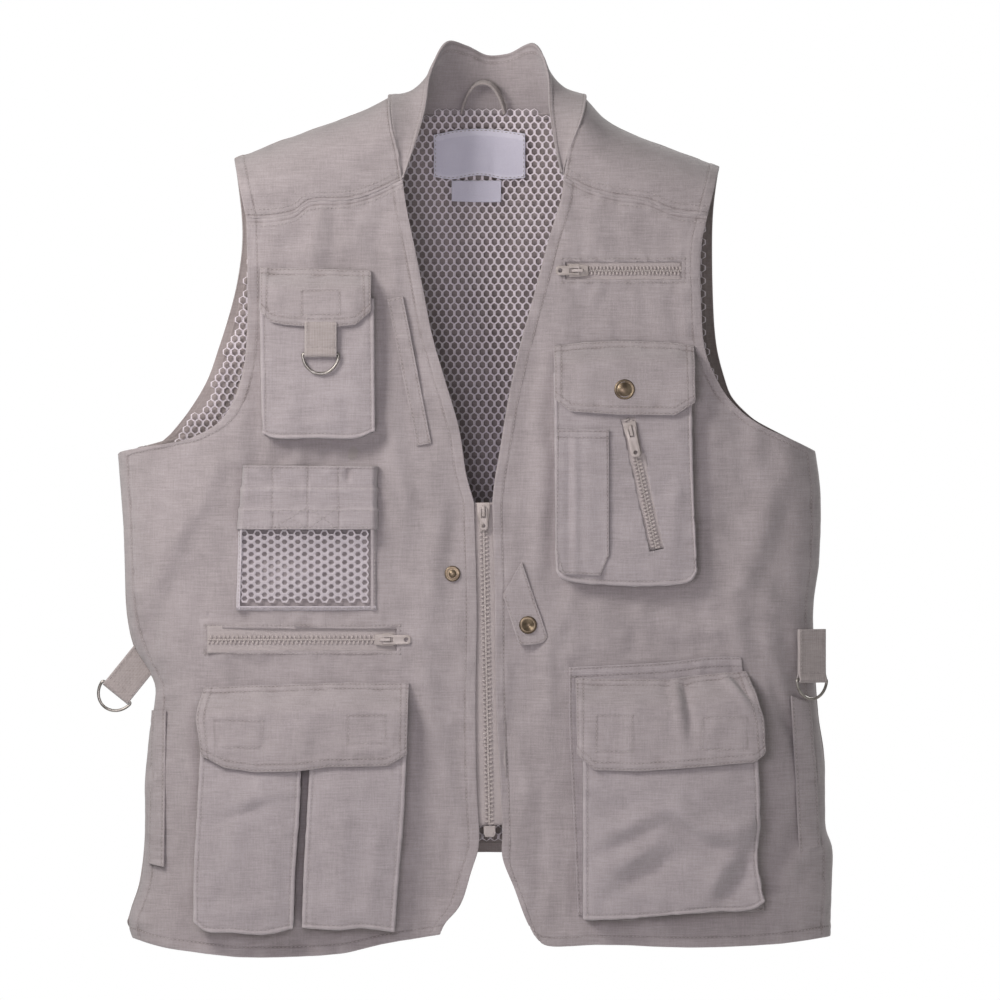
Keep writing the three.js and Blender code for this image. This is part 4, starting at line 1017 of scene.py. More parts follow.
def net_tool() -> Tool:
    """Turns a triangle lattice into a knitted net of six-sided holes."""
    tool = Tool("honeycomb_net", {
        "Hole": ("NodeSocketFloat", 0.7), "Height": ("NodeSocketFloat", 1.0),
        "Strand": ("NodeSocketFloat", 0.0004),
        "Material": ("NodeSocketMaterial", None)})
    source = tool.source.outputs
    cells = tool.node("GeometryNodeDualMesh", {"Mesh": source["Geometry"]})
    rims = tool.node("GeometryNodeExtrudeMesh", {"Mesh": cells.outputs["Dual Mesh"],
        "Offset Scale": source["Strand"], "Individual": True}, mode="FACES")
    holes = tool.node("GeometryNodeScaleElements", {
        "Geometry": rims.outputs["Mesh"], "Selection": rims.outputs["Top"], "Scale": source["Hole"]},
        domain="FACE")
    tall = tool.node("GeometryNodeScaleElements", {
        "Geometry": holes.outputs["Geometry"], "Selection": rims.outputs["Top"], "Scale": source["Height"],
        "Axis": (0.0, 0.0, 1.0)}, domain="FACE", scale_mode="SINGLE_AXIS")
    opened = tool.node("GeometryNodeDeleteGeometry", {
        "Geometry": tall.outputs["Geometry"], "Selection": rims.outputs["Top"]}, domain="FACE")
    tool.end(opened.outputs["Geometry"])
    return tool


@dataclass
class Stitches:
    """Rows of stitches, gathered by the group of pieces that they move with."""

    rows: dict[str, list[Array]] = field(default_factory=dict)

    def add(self, group: str, *lines: Array) -> None:
        """Keeps rows for one moving group."""
        self.rows.setdefault(group, []).extend(line for line in lines if len(line) > 1)

    def make(self, group: str, tool: Tool, material: bpy.types.Material) -> Thing:
        """Bakes one group's rows into a piece."""
        verts, edges = [], []
        for line in self.rows[group]:
            first = len(verts)
            verts.extend(to_row(line).tolist())
            edges.extend((first + i, first + i + 1) for i in range(len(line) - 1))
        data = bpy.data.meshes.new(f"{group}_rows")
        data.from_pydata(verts, edges, [])
        return tool.bake(f"{group}_stitches", data, {"Material": material})


# ---------------------------------------------------------------- small solids
def turned(name: str, profile: Points, centre: Array, sides: int = 40) -> Thing:
    """A profile of radius and height turned about the Y axis, with its height towards the front.

    Args:
        name: The piece's name.
        profile: Radius and height pairs, from axis to axis.
        centre: The base's centre in pattern millimetres.
        sides: Steps round the axis.

    Returns:
        The object.
    """
    angles = np.linspace(0, 2 * math.pi, sides, endpoint=False)
    work = bmesh.new()
    rings = []
    for radius, height in profile:
        if radius < 1e-6:
            rings.append([work.verts.new(to_row(centre + np.array([0, -height, 0])))])
            continue
        rings.append([
            work.verts.new(to_row(centre + np.array([radius * math.cos(a), -height, radius * math.sin(a)])))
            for a in angles
        ])
    for low, high in zip(rings, rings[1:]):
        for i in range(sides):
            j = (i + 1) % sides
            ring = [low[i % len(low)], low[j % len(low)], high[j % len(high)], high[i % len(high)]]
            unique = list(dict.fromkeys(ring))
            if len(unique) > 2:
                work.faces.new(unique)
    bmesh.ops.recalc_face_normals(work, faces=work.faces)
    data = bpy.data.meshes.new(name)
    work.to_mesh(data)
    work.free()
    data.polygons.foreach_set("use_smooth", np.ones(len(data.polygons), bool))
    return link(name, data)


def swept(name: str, route: Array, radius: float, sides: int = 14, closed: bool = True) -> Thing:
    """A round wire along a route in metres, given as points in space."""
    count = len(route)
    before, after = np.roll(route, 1, axis=0), np.roll(route, -1, axis=0)
    if not closed:
        before[0], after[-1] = route[0], route[-1]
    tangent = after - before
    tangent /= np.linalg.norm(tangent, axis=1, keepdims=True)
    centre = route.mean(axis=0)
    plane = np.linalg.svd(route - centre)[2][2]
    aside = np.cross(tangent, plane)
    angles = np.linspace(0, 2 * math.pi, sides, endpoint=False)
    rings = route[:, None] + radius * (
        np.cos(angles)[None, :, None] * aside[:, None] + np.sin(angles)[None, :, None] * plane)
    index = np.arange(count * sides).reshape(count, sides)
    last = count if closed else count - 1
    quads = [
        (index[i, j], index[(i + 1) % count, j], index[(i + 1) % count, (j + 1) % sides],
            index[i, (j + 1) % sides])
        for i in range(last) for j in range(sides)
    ]
    data = bpy.data.meshes.new(name)
    data.from_pydata(rings.reshape(-1, 3).tolist(), [], quads)
    work = bmesh.new()
    work.from_mesh(data)
    if not closed:
        bmesh.ops.holes_fill(work, edges=[edge for edge in work.edges if edge.is_boundary])
    bmesh.ops.recalc_face_normals(work, faces=work.faces)
    work.to_mesh(data)
    work.free()
    data.polygons.foreach_set("use_smooth", np.ones(len(data.polygons), bool))
    return link(name, data)


def softened_copy(node: str, name: str, width: float) -> Thing:
    """A rounded copy of a machined frame node, its corners broken all round."""
    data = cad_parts[node].data.copy()
    data.name = name
    work = bmesh.new()
    work.from_mesh(data)
    bmesh.ops.remove_doubles(work, verts=work.verts, dist=1e-6)
    bmesh.ops.dissolve_limit(work, angle_limit=math.radians(2), verts=work.verts, edges=work.edges)
    work.to_mesh(data)
    work.free()
    piece = link(name, data)
    bevel = piece.modifiers.new("corners", "BEVEL")
    bevel.width = width * MM
    bevel.segments = 3
    bevel.limit_method = "ANGLE"
    bevel.angle_limit = math.radians(30)
    bevel.harden_normals = True
    data.polygons.foreach_set("use_smooth", np.ones(len(data.polygons), bool))
    return piece


def dress(piece: Thing, material: bpy.types.Material, slot: str, body: str, *nodes: str) -> Thing:
    """Gives a piece its material and its body, and hides the frame nodes that it stands for."""
    piece.data.materials.clear()
    piece.data.materials.append(material)
    if body:
        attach(piece, body)
    if nodes:
        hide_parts(*nodes)
    LOG.info("piece %s on %s", piece.name, body or "two bodies")
    return piece


@dataclass
class Workshop:
    """What every sub-assembly shares: finishes, tools and the gathered stitches."""

    finishes: Finishes
    stitch: Tool
    teeth: Tool
    net: Tool
    stitches: Stitches = field(default_factory=Stitches)


# ---------------------------------------------------------------- shell
BOUND_EDGE = Hem(width=8.0, rise=0.45, rows=(7.6,), pucker=0.6, pitch=8.0)
FRONT_EDGE = Hem(width=8.6, rise=0.3, rows=(8.2,), pucker=0.5, pitch=9.0)
HEM_EDGE = Hem(width=8.0, rise=0.4, rows=(7.6,), pucker=0.9, pitch=9.0)
POCKETS_ON_FRONTS = (
    "right_chest_pouch", "mesh_pocket_body", "mesh_pocket_band", "right_lower_pouch_outer",
    "right_lower_pouch_inner",
    "left_chest_pouch", "left_lower_pouch", "left_lower_slip_pocket")
SEAM_EDGE = Hem(width=2.4, rise=0.05, rows=(2.6,), pucker=0.55, pitch=6.5)


@dataclass
class FrontPanel:
    """One front: its side seam, armhole, front edge, yoke seam and hem."""

    side: Side
    armhole: Points
    edge_low: Points
    edge_mid: Points
    edge_neck: Points
    yoke_seam: Points
    hem: Points
    window: tuple[float, float, float, float]
    weave: Weave

    def build(self, shop: Workshop) -> Thing:
        """Builds the panel, cuts its zip window and sews its edges."""
        sides = TUBE.right_side if self.side is Side.RIGHT else TUBE.left_side
        outline = Outline(
            Line(sides, [sides[-1], *self.armhole]),
            Line(self.edge_low, self.edge_mid, self.edge_neck),
            Line(self.hem), Line(self.yoke_seam))
        us, vs = stations(285, 2.8), stations(620, 2.9)
        cloth = Cloth(f"{self.side.value}_front", outline, us, vs)
        cloth.on_front().lie(self.weave, 20.0)
        edge, neck, hem, seam = FRONT_EDGE, BOUND_EDGE, HEM_EDGE, SEAM_EDGE
        x0, x1, z0, z1 = self.window
        rim = 2.6
        ring = np.array([(x0 - rim, z0 - rim), (x1 + rim, z0 - rim), (x1 + rim, z1 + rim),
            (x0 - rim, z1 + rim)])
        cloth.groove(np.vstack([ring, ring[:1]]), 0.4, 0.9, 1.6, seed=47)
        for node in POCKETS_ON_FRONTS:
            low, high = cad_box(node)
            cloth.height *= 1 - 0.85 * cloth.near((low[0] + 4, high[0] - 4, low[2] + 4, high[2] - 4), 5.0)
        hold = cloth.near(self.window, 5.0)
        cloth.height = cloth.height * (1 - hold) + 0.6 * hold
        cloth.hem({Edge.RIGHT: edge, Edge.BOTTOM: hem, Edge.TOP: seam, Edge.LEFT: neck}, seed=11)
        cloth.settle(1 if self.side is Side.RIGHT else -1)
        flip = 1 if self.side is Side.RIGHT else -1
        proud = 0.25
        for row_edge, rows in ((Edge.RIGHT, edge.rows), (Edge.BOTTOM, hem.rows), (Edge.TOP, (5.4,)),
                (Edge.LEFT, (7.6,))):
            for row in rows:
                shop.stitches.add(SHELL_BODY, cloth.trace(row_edge, row, proud=proud if flip > 0 else -1.45))
        for start, end in zip(ring, np.roll(ring, -1, axis=0)):
            count = max(6, round(float(np.linalg.norm(end - start)) / 4))
            shop.stitches.add(SHELL_BODY, cloth.follow(np.linspace(start, end, count),
                proud + 0.2 if flip > 0 else -1.6))
        piece = cloth.mesh(SHELL_CLOTH, flip)
        cut_window(piece, [(x0, z0), (x1, z0), (x1, z1), (x0, z1)], (-60, -20))
        return dress(piece, shop.finishes.shell, "cloth", SHELL_BODY, f"{self.side.value}_front_panel")


@dataclass
class Yoke:
    """One shoulder yoke, from the chest seam up over the shoulder to the back."""

    side: Side
    seam: Points
    neck: Points
    shoulder: Points

    def build(self, shop: Workshop) -> Thing:
        """Builds the yoke with its bound armhole and its seams."""
        outline = Outline(
            Line([self.seam[0], self.shoulder[0]]), Line([self.seam[-1], *self.neck, self.shoulder[-1]]),
            Line(self.seam), Line(self.shoulder))
        us = stations(130, 2.6)
        turn = np.linspace(0, 1, 46)
        vs = np.concatenate([stations(60, 2.4, high_fine=False)[:-8] * 1.0, 1 - 0.28 * (1 - turn) ** 2])
        vs = np.unique(np.clip(np.sort(vs), 0, 1))
        cloth = Cloth(f"{self.side.value}_yoke", outline, us, vs)
        cloth.on_front().lie(Weave(wave=0.8, wave_size=60, crumple=0.3, seed=21, folds=(
            Fold(0.5, 0.25, 8, 40, 7, 1.0), Fold(0.3, 0.6, -12, 30, 8, -0.8))), 12.0, (Edge.BOTTOM, Edge.TOP))
        cloth.hem({Edge.BOTTOM: SEAM_EDGE, Edge.LEFT: BOUND_EDGE, Edge.RIGHT: SEAM_EDGE}, seed=13)
        flip = 1 if self.side is Side.RIGHT else -1
        cloth.settle(flip)
        proud = 0.25 if flip > 0 else -1.45
        for edge, row in ((Edge.BOTTOM, 3.4), (Edge.BOTTOM, 7.0), (Edge.LEFT, 7.6), (Edge.RIGHT, 3.2)):
            shop.stitches.add(SHELL_BODY, cloth.trace(edge, row, proud=proud))
        piece = cloth.mesh(SHELL_CLOTH, flip)
        return dress(piece, shop.finishes.shell, "cloth", SHELL_BODY, f"{self.side.value}_shoulder_yoke")


@dataclass
class BackPanel:
    """The back in one piece, with a yoke seam across the shoulder blades and a hemmed, raised tail."""

    right_armhole: Points
    left_armhole: Points
    hem: Points
    neck: Points
    yoke_height: float = 520.0

    def build(self, shop: Workshop) -> Thing:
        """Builds the back and sews its seams."""
        right, left = TUBE.right_side, TUBE.left_side
        outline = Outline(
            Line([self.hem[0], *right[1:]], [right[-1], *self.right_armhole]),
            Line([self.hem[-1], *left[1:]], [left[-1], *self.left_armhole]),
            Line(self.hem), Line(TUBE.right_shoulder, self.neck, TUBE.left_shoulder[::-1]))
        us = stations(560, 4.2)
        vs = stations(650, 4.0, high_fine=False)
        vs = np.unique(np.concatenate([vs, 1 - 0.07 * np.linspace(0, 1, 30) ** 2]))
        cloth = Cloth("back", outline, us, vs)
        folds = (
            Fold(0.3, 0.45, 82, 120, 16, 4.1), Fold(0.68, 0.4, 98, 130, 18, 3.7),
            Fold(0.5, 0.25, 90, 90, 20, -2.7),
            Fold(0.15, 0.3, 60, 70, 13, 3.4), Fold(0.85, 0.32, 118, 70, 13, 3.4),
            Fold(0.5, 0.7, 4, 110, 12, 2.4))
        cloth.on_back().lie(Weave(wave=4.0, wave_size=110, crumple=0.8, drape=3.0, seed=31, folds=folds),
            25.0)
        cloth.hem({Edge.BOTTOM: HEM_EDGE, Edge.LEFT: BOUND_EDGE, Edge.RIGHT: BOUND_EDGE}, seed=17)
        seam = np.array([(x, self.yoke_height + 10 * math.cos(x / 150)) for x in np.linspace(-184, 168, 60)])
        cloth.groove(seam, 0.8, 1.3, 0.6)
        cloth.settle(-1)
        for row in HEM_EDGE.rows:
            shop.stitches.add(SHELL_BODY, cloth.trace(Edge.BOTTOM, row, proud=-1.8))
        for edge in (Edge.LEFT, Edge.RIGHT):
            shop.stitches.add(SHELL_BODY, cloth.trace(edge, 7.6, proud=-1.8))
        for lift in (3.0, 6.5):
            line = cloth.follow(seam + np.array([0, lift]), proud=-1.8)
            shop.stitches.add(SHELL_BODY, line)
        piece = cloth.mesh(SHELL_CLOTH, -1)
        return dress(piece, shop.finishes.back, "cloth", SHELL_BODY, "back_panel")


@dataclass
class Collar:
    """The stand collar, sewn round the neck and open at the front."""

    seam: Points
    top: Points

    def build(self, shop: Workshop) -> Thing:
        """Builds the collar in space from its seam and its top edge."""
        outline = Outline(
            Line([self.seam[0], self.top[0]]), Line([self.seam[-1], self.top[-1]]), Line(self.seam),
            Line(self.top))
        cloth = Cloth("collar_band", outline, stations(310, 2.2), stations(46, 1.8))
        cloth.in_space()
        cloth.distance[Edge.BOTTOM] = cloth.vs[:, None] * 42 * np.ones((1, len(cloth.us)))
        cloth.distance[Edge.TOP] = 42 - cloth.distance[Edge.BOTTOM]
        cloth.distance[Edge.LEFT] = cloth.us[None] * 310 * np.ones((len(cloth.vs), 1))
        cloth.distance[Edge.RIGHT] = 310 - cloth.distance[Edge.LEFT]
        roll = -1.6 * np.sin(math.pi * cloth.vs)[:, None] * np.ones((1, len(cloth.us)))
        cloth.height += roll
        cloth.lie(Weave(wave=1.2, wave_size=40, crumple=0.4, seed=41), 10.0)
        cloth.hem({Edge.TOP: Hem(4.5, 0.6, (1.4, 4.8), 0.5, 8.0), Edge.BOTTOM: SEAM_EDGE}, seed=19)
        cloth.settle(-1)
        for edge, row in ((Edge.TOP, 4.8), (Edge.BOTTOM, 3.4)):
            for side in (0.15, -1.35):
                shop.stitches.add(SHELL_BODY, cloth.trace(edge, row, proud=side))
        piece = cloth.mesh(1.8, -1)
        return dress(piece, shop.finishes.shell, "cloth", SHELL_BODY, "collar")


@dataclass
class Lining:
    """The honeycomb net inside the back, with its labels and the hanger loop."""

    inset: float = 5.0
    pitch_across: float = 6.3
    pitch_up: float = 5.1

    def build(self, shop: Workshop) -> None:
        """Builds the net, the labels and the loop."""
        self.net(shop)
        self.labels(shop)
        self.loop(shop)

    def net(self, shop: Workshop) -> None:
        """The net over the whole back."""
        low, high = cad_box("back_mesh_lining")
        right = smooth_line([(-248, 26), (-244, 206), (-258, 372), (-256, 394), (-236, 419), (-220, 445),
            (-211, 470),
                             (-203, 496), (-196, 524), (-192, 600)])
        left = smooth_line([(240, 26), (236, 184), (240, 380), (216, 408), (192, 430), (186, 448), (179, 472),
                            (177, 512), (178, 594)])
        hem = smooth_line([(-248, 26), (-160, 47), (-80, 71), (4, 78), (89, 69), (160, 47), (240, 26)])
        neck = smooth_line([(-192, 600), (-128, 631), (-84, 649), (-55, 660), (55, 660), (84, 646),
            (116, 622), (178, 594)])

        def inside(x: Array, z: Array) -> Array:
            """Whether a lattice point lies within the lining's outline."""
            return (
                (x > np.interp(z, right[:, 1], right[:, 0])) & (x < np.interp(z, left[:, 1], left[:, 0]))
                & (z > np.interp(x, hem[:, 0], hem[:, 1])) & (z < np.interp(x, neck[:, 0], neck[:, 1])))

        data = lattice("lining_lattice", low[[0, 2]], np.array([high[0], 660.0]), self.pitch_across,
            self.pitch_up,
                       inside, lambda x, z: self.surface(x, z))
        piece = shop.net.bake("back_net_lining", data, {
            "Hole": 0.68, "Height": 1.27, "Strand": 0.0006, "Material": shop.finishes.net})
        dress(piece, shop.finishes.net, "mesh", SHELL_BODY, "back_mesh_lining")

    def surface(self, x: Array, z: Array) -> Array:
        """The lining's middle surface, with the slack the net hangs with."""
        noise = Crumple(51)
        slack = 4.0 * noise.at(x / 75 + 0.4 * z / 100, z / 120) + 2.2 * noise.at(x / 26 + 4, z / 34) + 2.0
        points = TUBE.back(x, z, self.inset)
        free = np.clip((585 - z) / 60, 0, 1) * np.clip(TUBE.fullness(x, z) * 3 - 1.6, 0, 1)
        points[..., 1] -= slack * free
        return points

    def labels(self, shop: Workshop) -> None:
        """The blank woven label and the small care label under it."""
        face = cad_box("neck_label")[0][1]
        outline = framed("neck_label", [(0, 0.05), (0, 0.9)], [(1, 0.03), (1, 0.92)],
                         [(0, 0.05), (0.19, 0), (0.5, 0.08), (0.78, 0.0), (1, 0.03)],
                         [(0, 0.9), (0.25, 0.99), (0.5, 1.02), (0.78, 0.98), (1, 0.92)])
        cloth = Cloth("woven_label", outline, stations(72, 1.8), stations(38, 1.5))
        cloth.points = np.stack([cloth.x, np.full(cloth.x.shape, face), cloth.z], axis=-1)
        cloth.lie(Weave(wave=0.9, wave_size=26, crumple=0.25, seed=71, folds=(
            Fold(0.35, 0.1, 88, 16, 4, 1.4), Fold(0.66, 0.12, 92, 14, 4, -1.2))), 3.0, (Edge.TOP,))
        cloth.wear_and_painted_light += 0.7 * (cloth.distance[Edge.TOP] < 5.5) + 0.5 * (cloth.distance[Edge.BOTTOM] < 3.5)
        cloth.settle()
        for edge in Edge:
            shop.stitches.add(SHELL_BODY, cloth.trace(edge, 1.3, proud=-0.1))
        dress(cloth.mesh(0.7), shop.finishes.label, "label", SHELL_BODY, "neck_label")
        outline = framed("care_label", [(0, 0.04), (0, 1)], [(1, 0.0), (1, 1)],
            [(0, 0.04), (0.5, 0.0), (1, 0)], [(0, 1), (1, 1)])
        care = Cloth("care_tag", outline, stations(39, 1.6), stations(17, 1.2, high_fine=False))
        care.points = np.stack([care.x, np.full(care.x.shape, cad_box("care_label")[0][1]), care.z], axis=-1)
        care.lie(Weave(wave=0.7, wave_size=18, crumple=0.2, seed=73), 3.0, (Edge.TOP,)).settle()
        dress(care.mesh(0.5), shop.finishes.label, "label", "care_label", "care_label")

    def loop(self, shop: Workshop) -> None:
        """The hanger loop: a narrow folded tape."""
        low, high = cad_box("hanger_loop")
        half = (high[0] - low[0]) / 2 + 2.6
        centre, top, foot = (low[0] + high[0]) / 2, high[2] + 1.5, low[2]
        share = np.sin(np.linspace(-math.pi / 2, math.pi / 2, 40))
        route = np.stack([centre + half * share, foot + (top - foot) * (1 - np.abs(share) ** 2.4) ** 0.85],
            axis=-1)
        lean = np.interp(route[:, 1], [foot, top], [high[1] - 1.5, low[1] + 1.5])
        spine = np.stack([route[:, 0], lean, route[:, 1]], axis=-1)
        across = np.linspace(-2.4, 2.4, 7)
        grid = np.stack([spine + np.array([0.25 * a, 0.8 * a, 0.55 * a]) for a in across])
        strip = Cloth("hanger_tape", Outline(Line([(0, 0), (0, 1)]), Line([(1, 0), (1, 1)]),
            Line([(0, 0), (1, 0)]), Line([(0, 1), (1, 1)])),
                      np.linspace(0, 1, len(spine)), np.linspace(0, 1, 7))
        strip.points = grid
        dress(strip.mesh(2.0), shop.finishes.webbing, "zip_tape", SHELL_BODY, "hanger_loop")


def lattice(name: str, low: Array, high: Array, across: float, up: float, inside: object, surface: object,
            upright: bool = False) -> MeshData:
    """A staggered triangle lattice over a surface, one point for each hole of a net.

    Args:
        name: The mesh's name.
        low: Lowest x and z.
        high: Highest x and z.
        across: Spacing along a row.
        up: Spacing of the rows.
        inside: Tells which points are kept, from x and z.
        surface: Gives points in space from x and z.
        upright: Whether the rows run up instead of across.

    Returns:
        The lattice mesh.
    """
    if upright:
        low, high = low[::-1], high[::-1]
    columns, rows = int((high[0] - low[0]) / across) + 2, int((high[1] - low[1]) / up) + 2
    row, column = np.mgrid[0:rows, 0:columns]
    x = low[0] + across * (column + 0.5 * (row % 2))
    z = low[1] + up * row
    if upright:
        x, z = z, x
    keep = inside(x, z)
    index = np.arange(rows * columns).reshape(rows, columns)
    faces = []
    for r in range(rows - 1):
        shift = r % 2
        for c in range(columns - 1):
            a, b, d, e = index[r, c], index[r, c + 1], index[r + 1, c], index[r + 1, c + 1]
            pair = ((a, b, d), (b, e, d)) if not shift else ((a, b, e), (a, e, d))
            for face in pair:
                if keep.ravel()[list(face)].all():
                    faces.append(tuple(int(i) for i in face))
    used = sorted({i for face in faces for i in face})
    remap = {old: new for new, old in enumerate(used)}
    points = to_row(surface(x, z)).reshape(-1, 3)[used]
    data = bpy.data.meshes.new(name)
    data.from_pydata(points.tolist(), [], [tuple(remap[i] for i in face) for face in faces])
    return data


# ---------------------------------------------------------------- pouches and flaps
WALL = ((0.0, 0.0, 0.0), (1.0, 0.1, 0.0), (2.2, 0.32, 0.0), (2.7, 0.55, 0.0), (2.0, 0.78, 0.0),
    (0.9, 0.93, 0.2),
        (0.3, 1.0, 0.6), (0.5, 1.0, 1.1), (1.3, 1.0, 1.3), (2.1, 1.0, 1.1), (2.8, 1.0, 0.45),
        (3.6, 1.0, 0.4), (5.0, 1.0, 0.6))


@dataclass
class Pouch:
    """A patch pouch that stands off what it is sewn to, its top edge open under a flap."""

    node: str
    name: str
    outline: Outline
    base: float
    weave: Weave
    flap: str
    crown: float = 2.5
    soft: float = 1.0
    top_hem: float = 11.0

    def build(self, shop: Workshop) -> Cloth:
        """Builds the pouch: bellows walls, raised seam ridge and crowned face."""
        low, _ = cad_box(self.node)
        depth = -TUBE.front_depth - low[1] - 0.5 * POCKET_CLOTH - self.base
        wall = np.array(WALL)
        width, height = self.outline.bottom.length, self.outline.left.length
        inner_u = stations(width, 2.3, False, False)
        inner_u = inner_u[(inner_u > 6.2 / width) & (inner_u < 1 - 6.2 / width)]
        inner_v = stations(height, 2.3, False, True)
        inner_v = inner_v[inner_v > 6.2 / height]
        inset = wall[:, 0]
        us = np.concatenate([inset / width, inner_u, 1 - inset[::-1] / width])
        vs = np.concatenate([inset / height, inner_v])
        cloth = Cloth(self.name, self.outline, us, vs)
        share_u = np.concatenate([wall[:, 1], np.ones(len(inner_u)), wall[::-1, 1]])[None]
        share_v = np.concatenate([wall[:, 1], np.ones(len(inner_v))])[:, None]
        lip_u = np.concatenate([wall[:, 2], np.full(len(inner_u), 0.6), wall[::-1, 2]])[None]
        lip_v = np.concatenate([wall[:, 2], np.full(len(inner_v), 0.6)])[:, None]
        share = np.minimum(share_u, share_v)
        bowl = np.sin(math.pi * np.clip(us, 0, 1))[None] ** 0.6 * np.clip(np.sin(math.pi
            * (0.08 + 0.86 * vs)), 0, 1)[:, None] ** 0.6
        ridge = np.where(lip_u + lip_v > 1.2, np.maximum(lip_u, lip_v), np.minimum(lip_u, lip_v))
        under = np.clip((cloth.z - cad_box(self.flap)[0][2] + 16) / 22, 0, 1)
        free = 1 - 0.92 * under * under * (3 - 2 * under)
        out = self.base + depth * share + ridge * share * 0.8 - 0.6 + self.crown * bowl * share * free
        cloth.on_front(out)
        cloth.lie(self.weave, 12.0 / self.soft, (Edge.LEFT, Edge.RIGHT, Edge.BOTTOM))
        cloth.height *= share * free
        top = cloth.distance[Edge.TOP]
        cloth.height -= 0.25 * np.exp(-((top - self.top_hem) / 0.7) ** 2)
        ripple = Crumple(self.weave.seed + 3)
        for edge in (Edge.LEFT, Edge.RIGHT, Edge.BOTTOM):
            gap = cloth.distance[edge]
            along = cloth.x if edge is Edge.BOTTOM else cloth.z
            pull = ripple.at(along / 8.5 + 5, gap / 24) * np.exp(-((gap - 4) / 7) ** 2) * share
            cloth.height += 0.5 * pull
            # Paler along the sewn edge (edge rubbing and painted highlight on its raised ridge) and on the
            # pucker crests (painted highlight).
            cloth.wear_and_painted_light += 0.4 * np.exp(-((gap - 1.3) / 1.4) ** 2) * (share > 0.9) + 0.25 * np.clip(pull, 0, 1)
            # Darker along the stitch row: painted shade.
            cloth.wear_and_painted_light -= 0.35 * np.exp(-((gap - 3.3) / 0.7) ** 2)
        # Darker down the bellows walls towards the shell: painted shade.
        cloth.wear_and_painted_light -= 0.25 * (1 - share)
        cloth.settle()
        piece = cloth.mesh(POCKET_CLOTH)
        dress(piece, shop.finishes.pocket, "pocket_cloth", SHELL_BODY, self.node)
        for edge in (Edge.LEFT, Edge.RIGHT, Edge.BOTTOM):
            shop.stitches.add(SHELL_BODY, cloth.trace(edge, 3.2, 3.0))
        shop.stitches.add(SHELL_BODY, cloth.trace(Edge.TOP, self.top_hem, 3.0))
        self.piece = piece
        return cloth


@dataclass
class Flap:
    """A pocket flap, sewn down along its top and hanging over its pouch."""

    node: str
    name: str
    body: str
    outline: Outline
    lift: float
    run: float
    weave: Weave
    patches: tuple[tuple[float, float, float, float], ...] = ()
    curl: float = 1.2

    def build(self, shop: Workshop) -> Cloth:
        """Builds the flap with its double-stitched edge and its sewn patches."""
        low, high = cad_box(self.node)
        stand = -TUBE.front_depth - low[1] - 0.5 * POCKET_CLOTH
        us = stations(self.outline.top.length, 2.0)
        vs = stations(high[2] - low[2], 1.6)
        cloth = Cloth(self.name, self.outline, us, vs)
        top = self.outline.top.at(us)[None, :, 1]
        share = np.clip((top - cloth.z) / self.run, 0, 1)
        rise = share * share * (3 - 2 * share)
        side = np.minimum(cloth.distance[Edge.LEFT], cloth.distance[Edge.RIGHT])
        tuck = self.curl * np.exp(-(side
            / 7) ** 2) * share + 0.8 * self.curl * np.exp(-(cloth.distance[Edge.BOTTOM] / 6) ** 2)
        cloth.on_front(SHELL_FACE + self.lift + (stand - SHELL_FACE - self.lift) * rise + 1.0 * share - tuck)
        cloth.lie(self.weave, 9.0, (Edge.TOP,))
        edge = Hem(width=6.8, rise=0.75, rows=(1.5, 6.0), pucker=0.45, pitch=8.5)
        cloth.hem({Edge.LEFT: edge, Edge.RIGHT: edge, Edge.BOTTOM: edge,
            Edge.TOP: Hem(5.2, 0.3, (1.4, 5.2), 0.5, 9.0)}, seed=23)
        for patch in self.patches:
            self.patch_marks(cloth, patch)
        cloth.settle()
        piece = cloth.mesh(2.0)
        dress(piece, shop.finishes.shell, "cloth", "", self.node)
        group = self.body
        rows = [cloth.trace(side_edge, row, row, proud=0.5) for side_edge in Edge
            for row in (1.5, 6.0 if side_edge is not Edge.TOP else 5.2)]
        shop.stitches.add(group, *rows)
        for patch in self.patches:
            shop.stitches.add(group, *[cloth.follow(line, 0.5) for line in self.patch_rows(patch)])
        self.hinge_blend(piece)
        self.piece = piece
        return cloth

    def hinge_blend(self, piece: Thing) -> None:
        """Bakes the piece's transform into its mesh."""
        low, high = cad_box(self.node)
        middle = (low[0] + high[0]) / 2
        start = to_row(np.array([middle, high[1], high[2] - 1.0]))
        end = to_row(np.array([middle, high[1], high[2] - 13.0]))
        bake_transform(piece)

    def corners(self, patch: tuple[float, float, float, float]) -> Array:
        """A sewn patch's corners in x and z, from shares of the flap's box."""
        low, high = cad_box(self.node)
        a, b, c, d = patch
        x = low[0] + np.array([a, b]) * (high[0] - low[0])
        z = low[2] + np.array([c, d]) * (high[2] - low[2])
        return np.array([(x[0], z[0]), (x[1], z[0]), (x[1], z[1]), (x[0], z[1])])

    def patch_marks(self, cloth: Cloth, patch: tuple[float, float, float, float]) -> None:
        """The hook patch behind shows as a raised rectangle with a sunk border."""
        ring = self.corners(patch)
        cloth.groove(np.vstack([ring, ring[:1]]), 0.35, 0.9, 0.35, seed=29)

    def patch_rows(self, patch: tuple[float, float, float, float]) -> list[Array]:
        """The stitch rows round a sewn patch."""
        ring = self.corners(patch)
        return [np.linspace(start, end, 12) for start, end in zip(ring, np.roll(ring, -1, axis=0))]


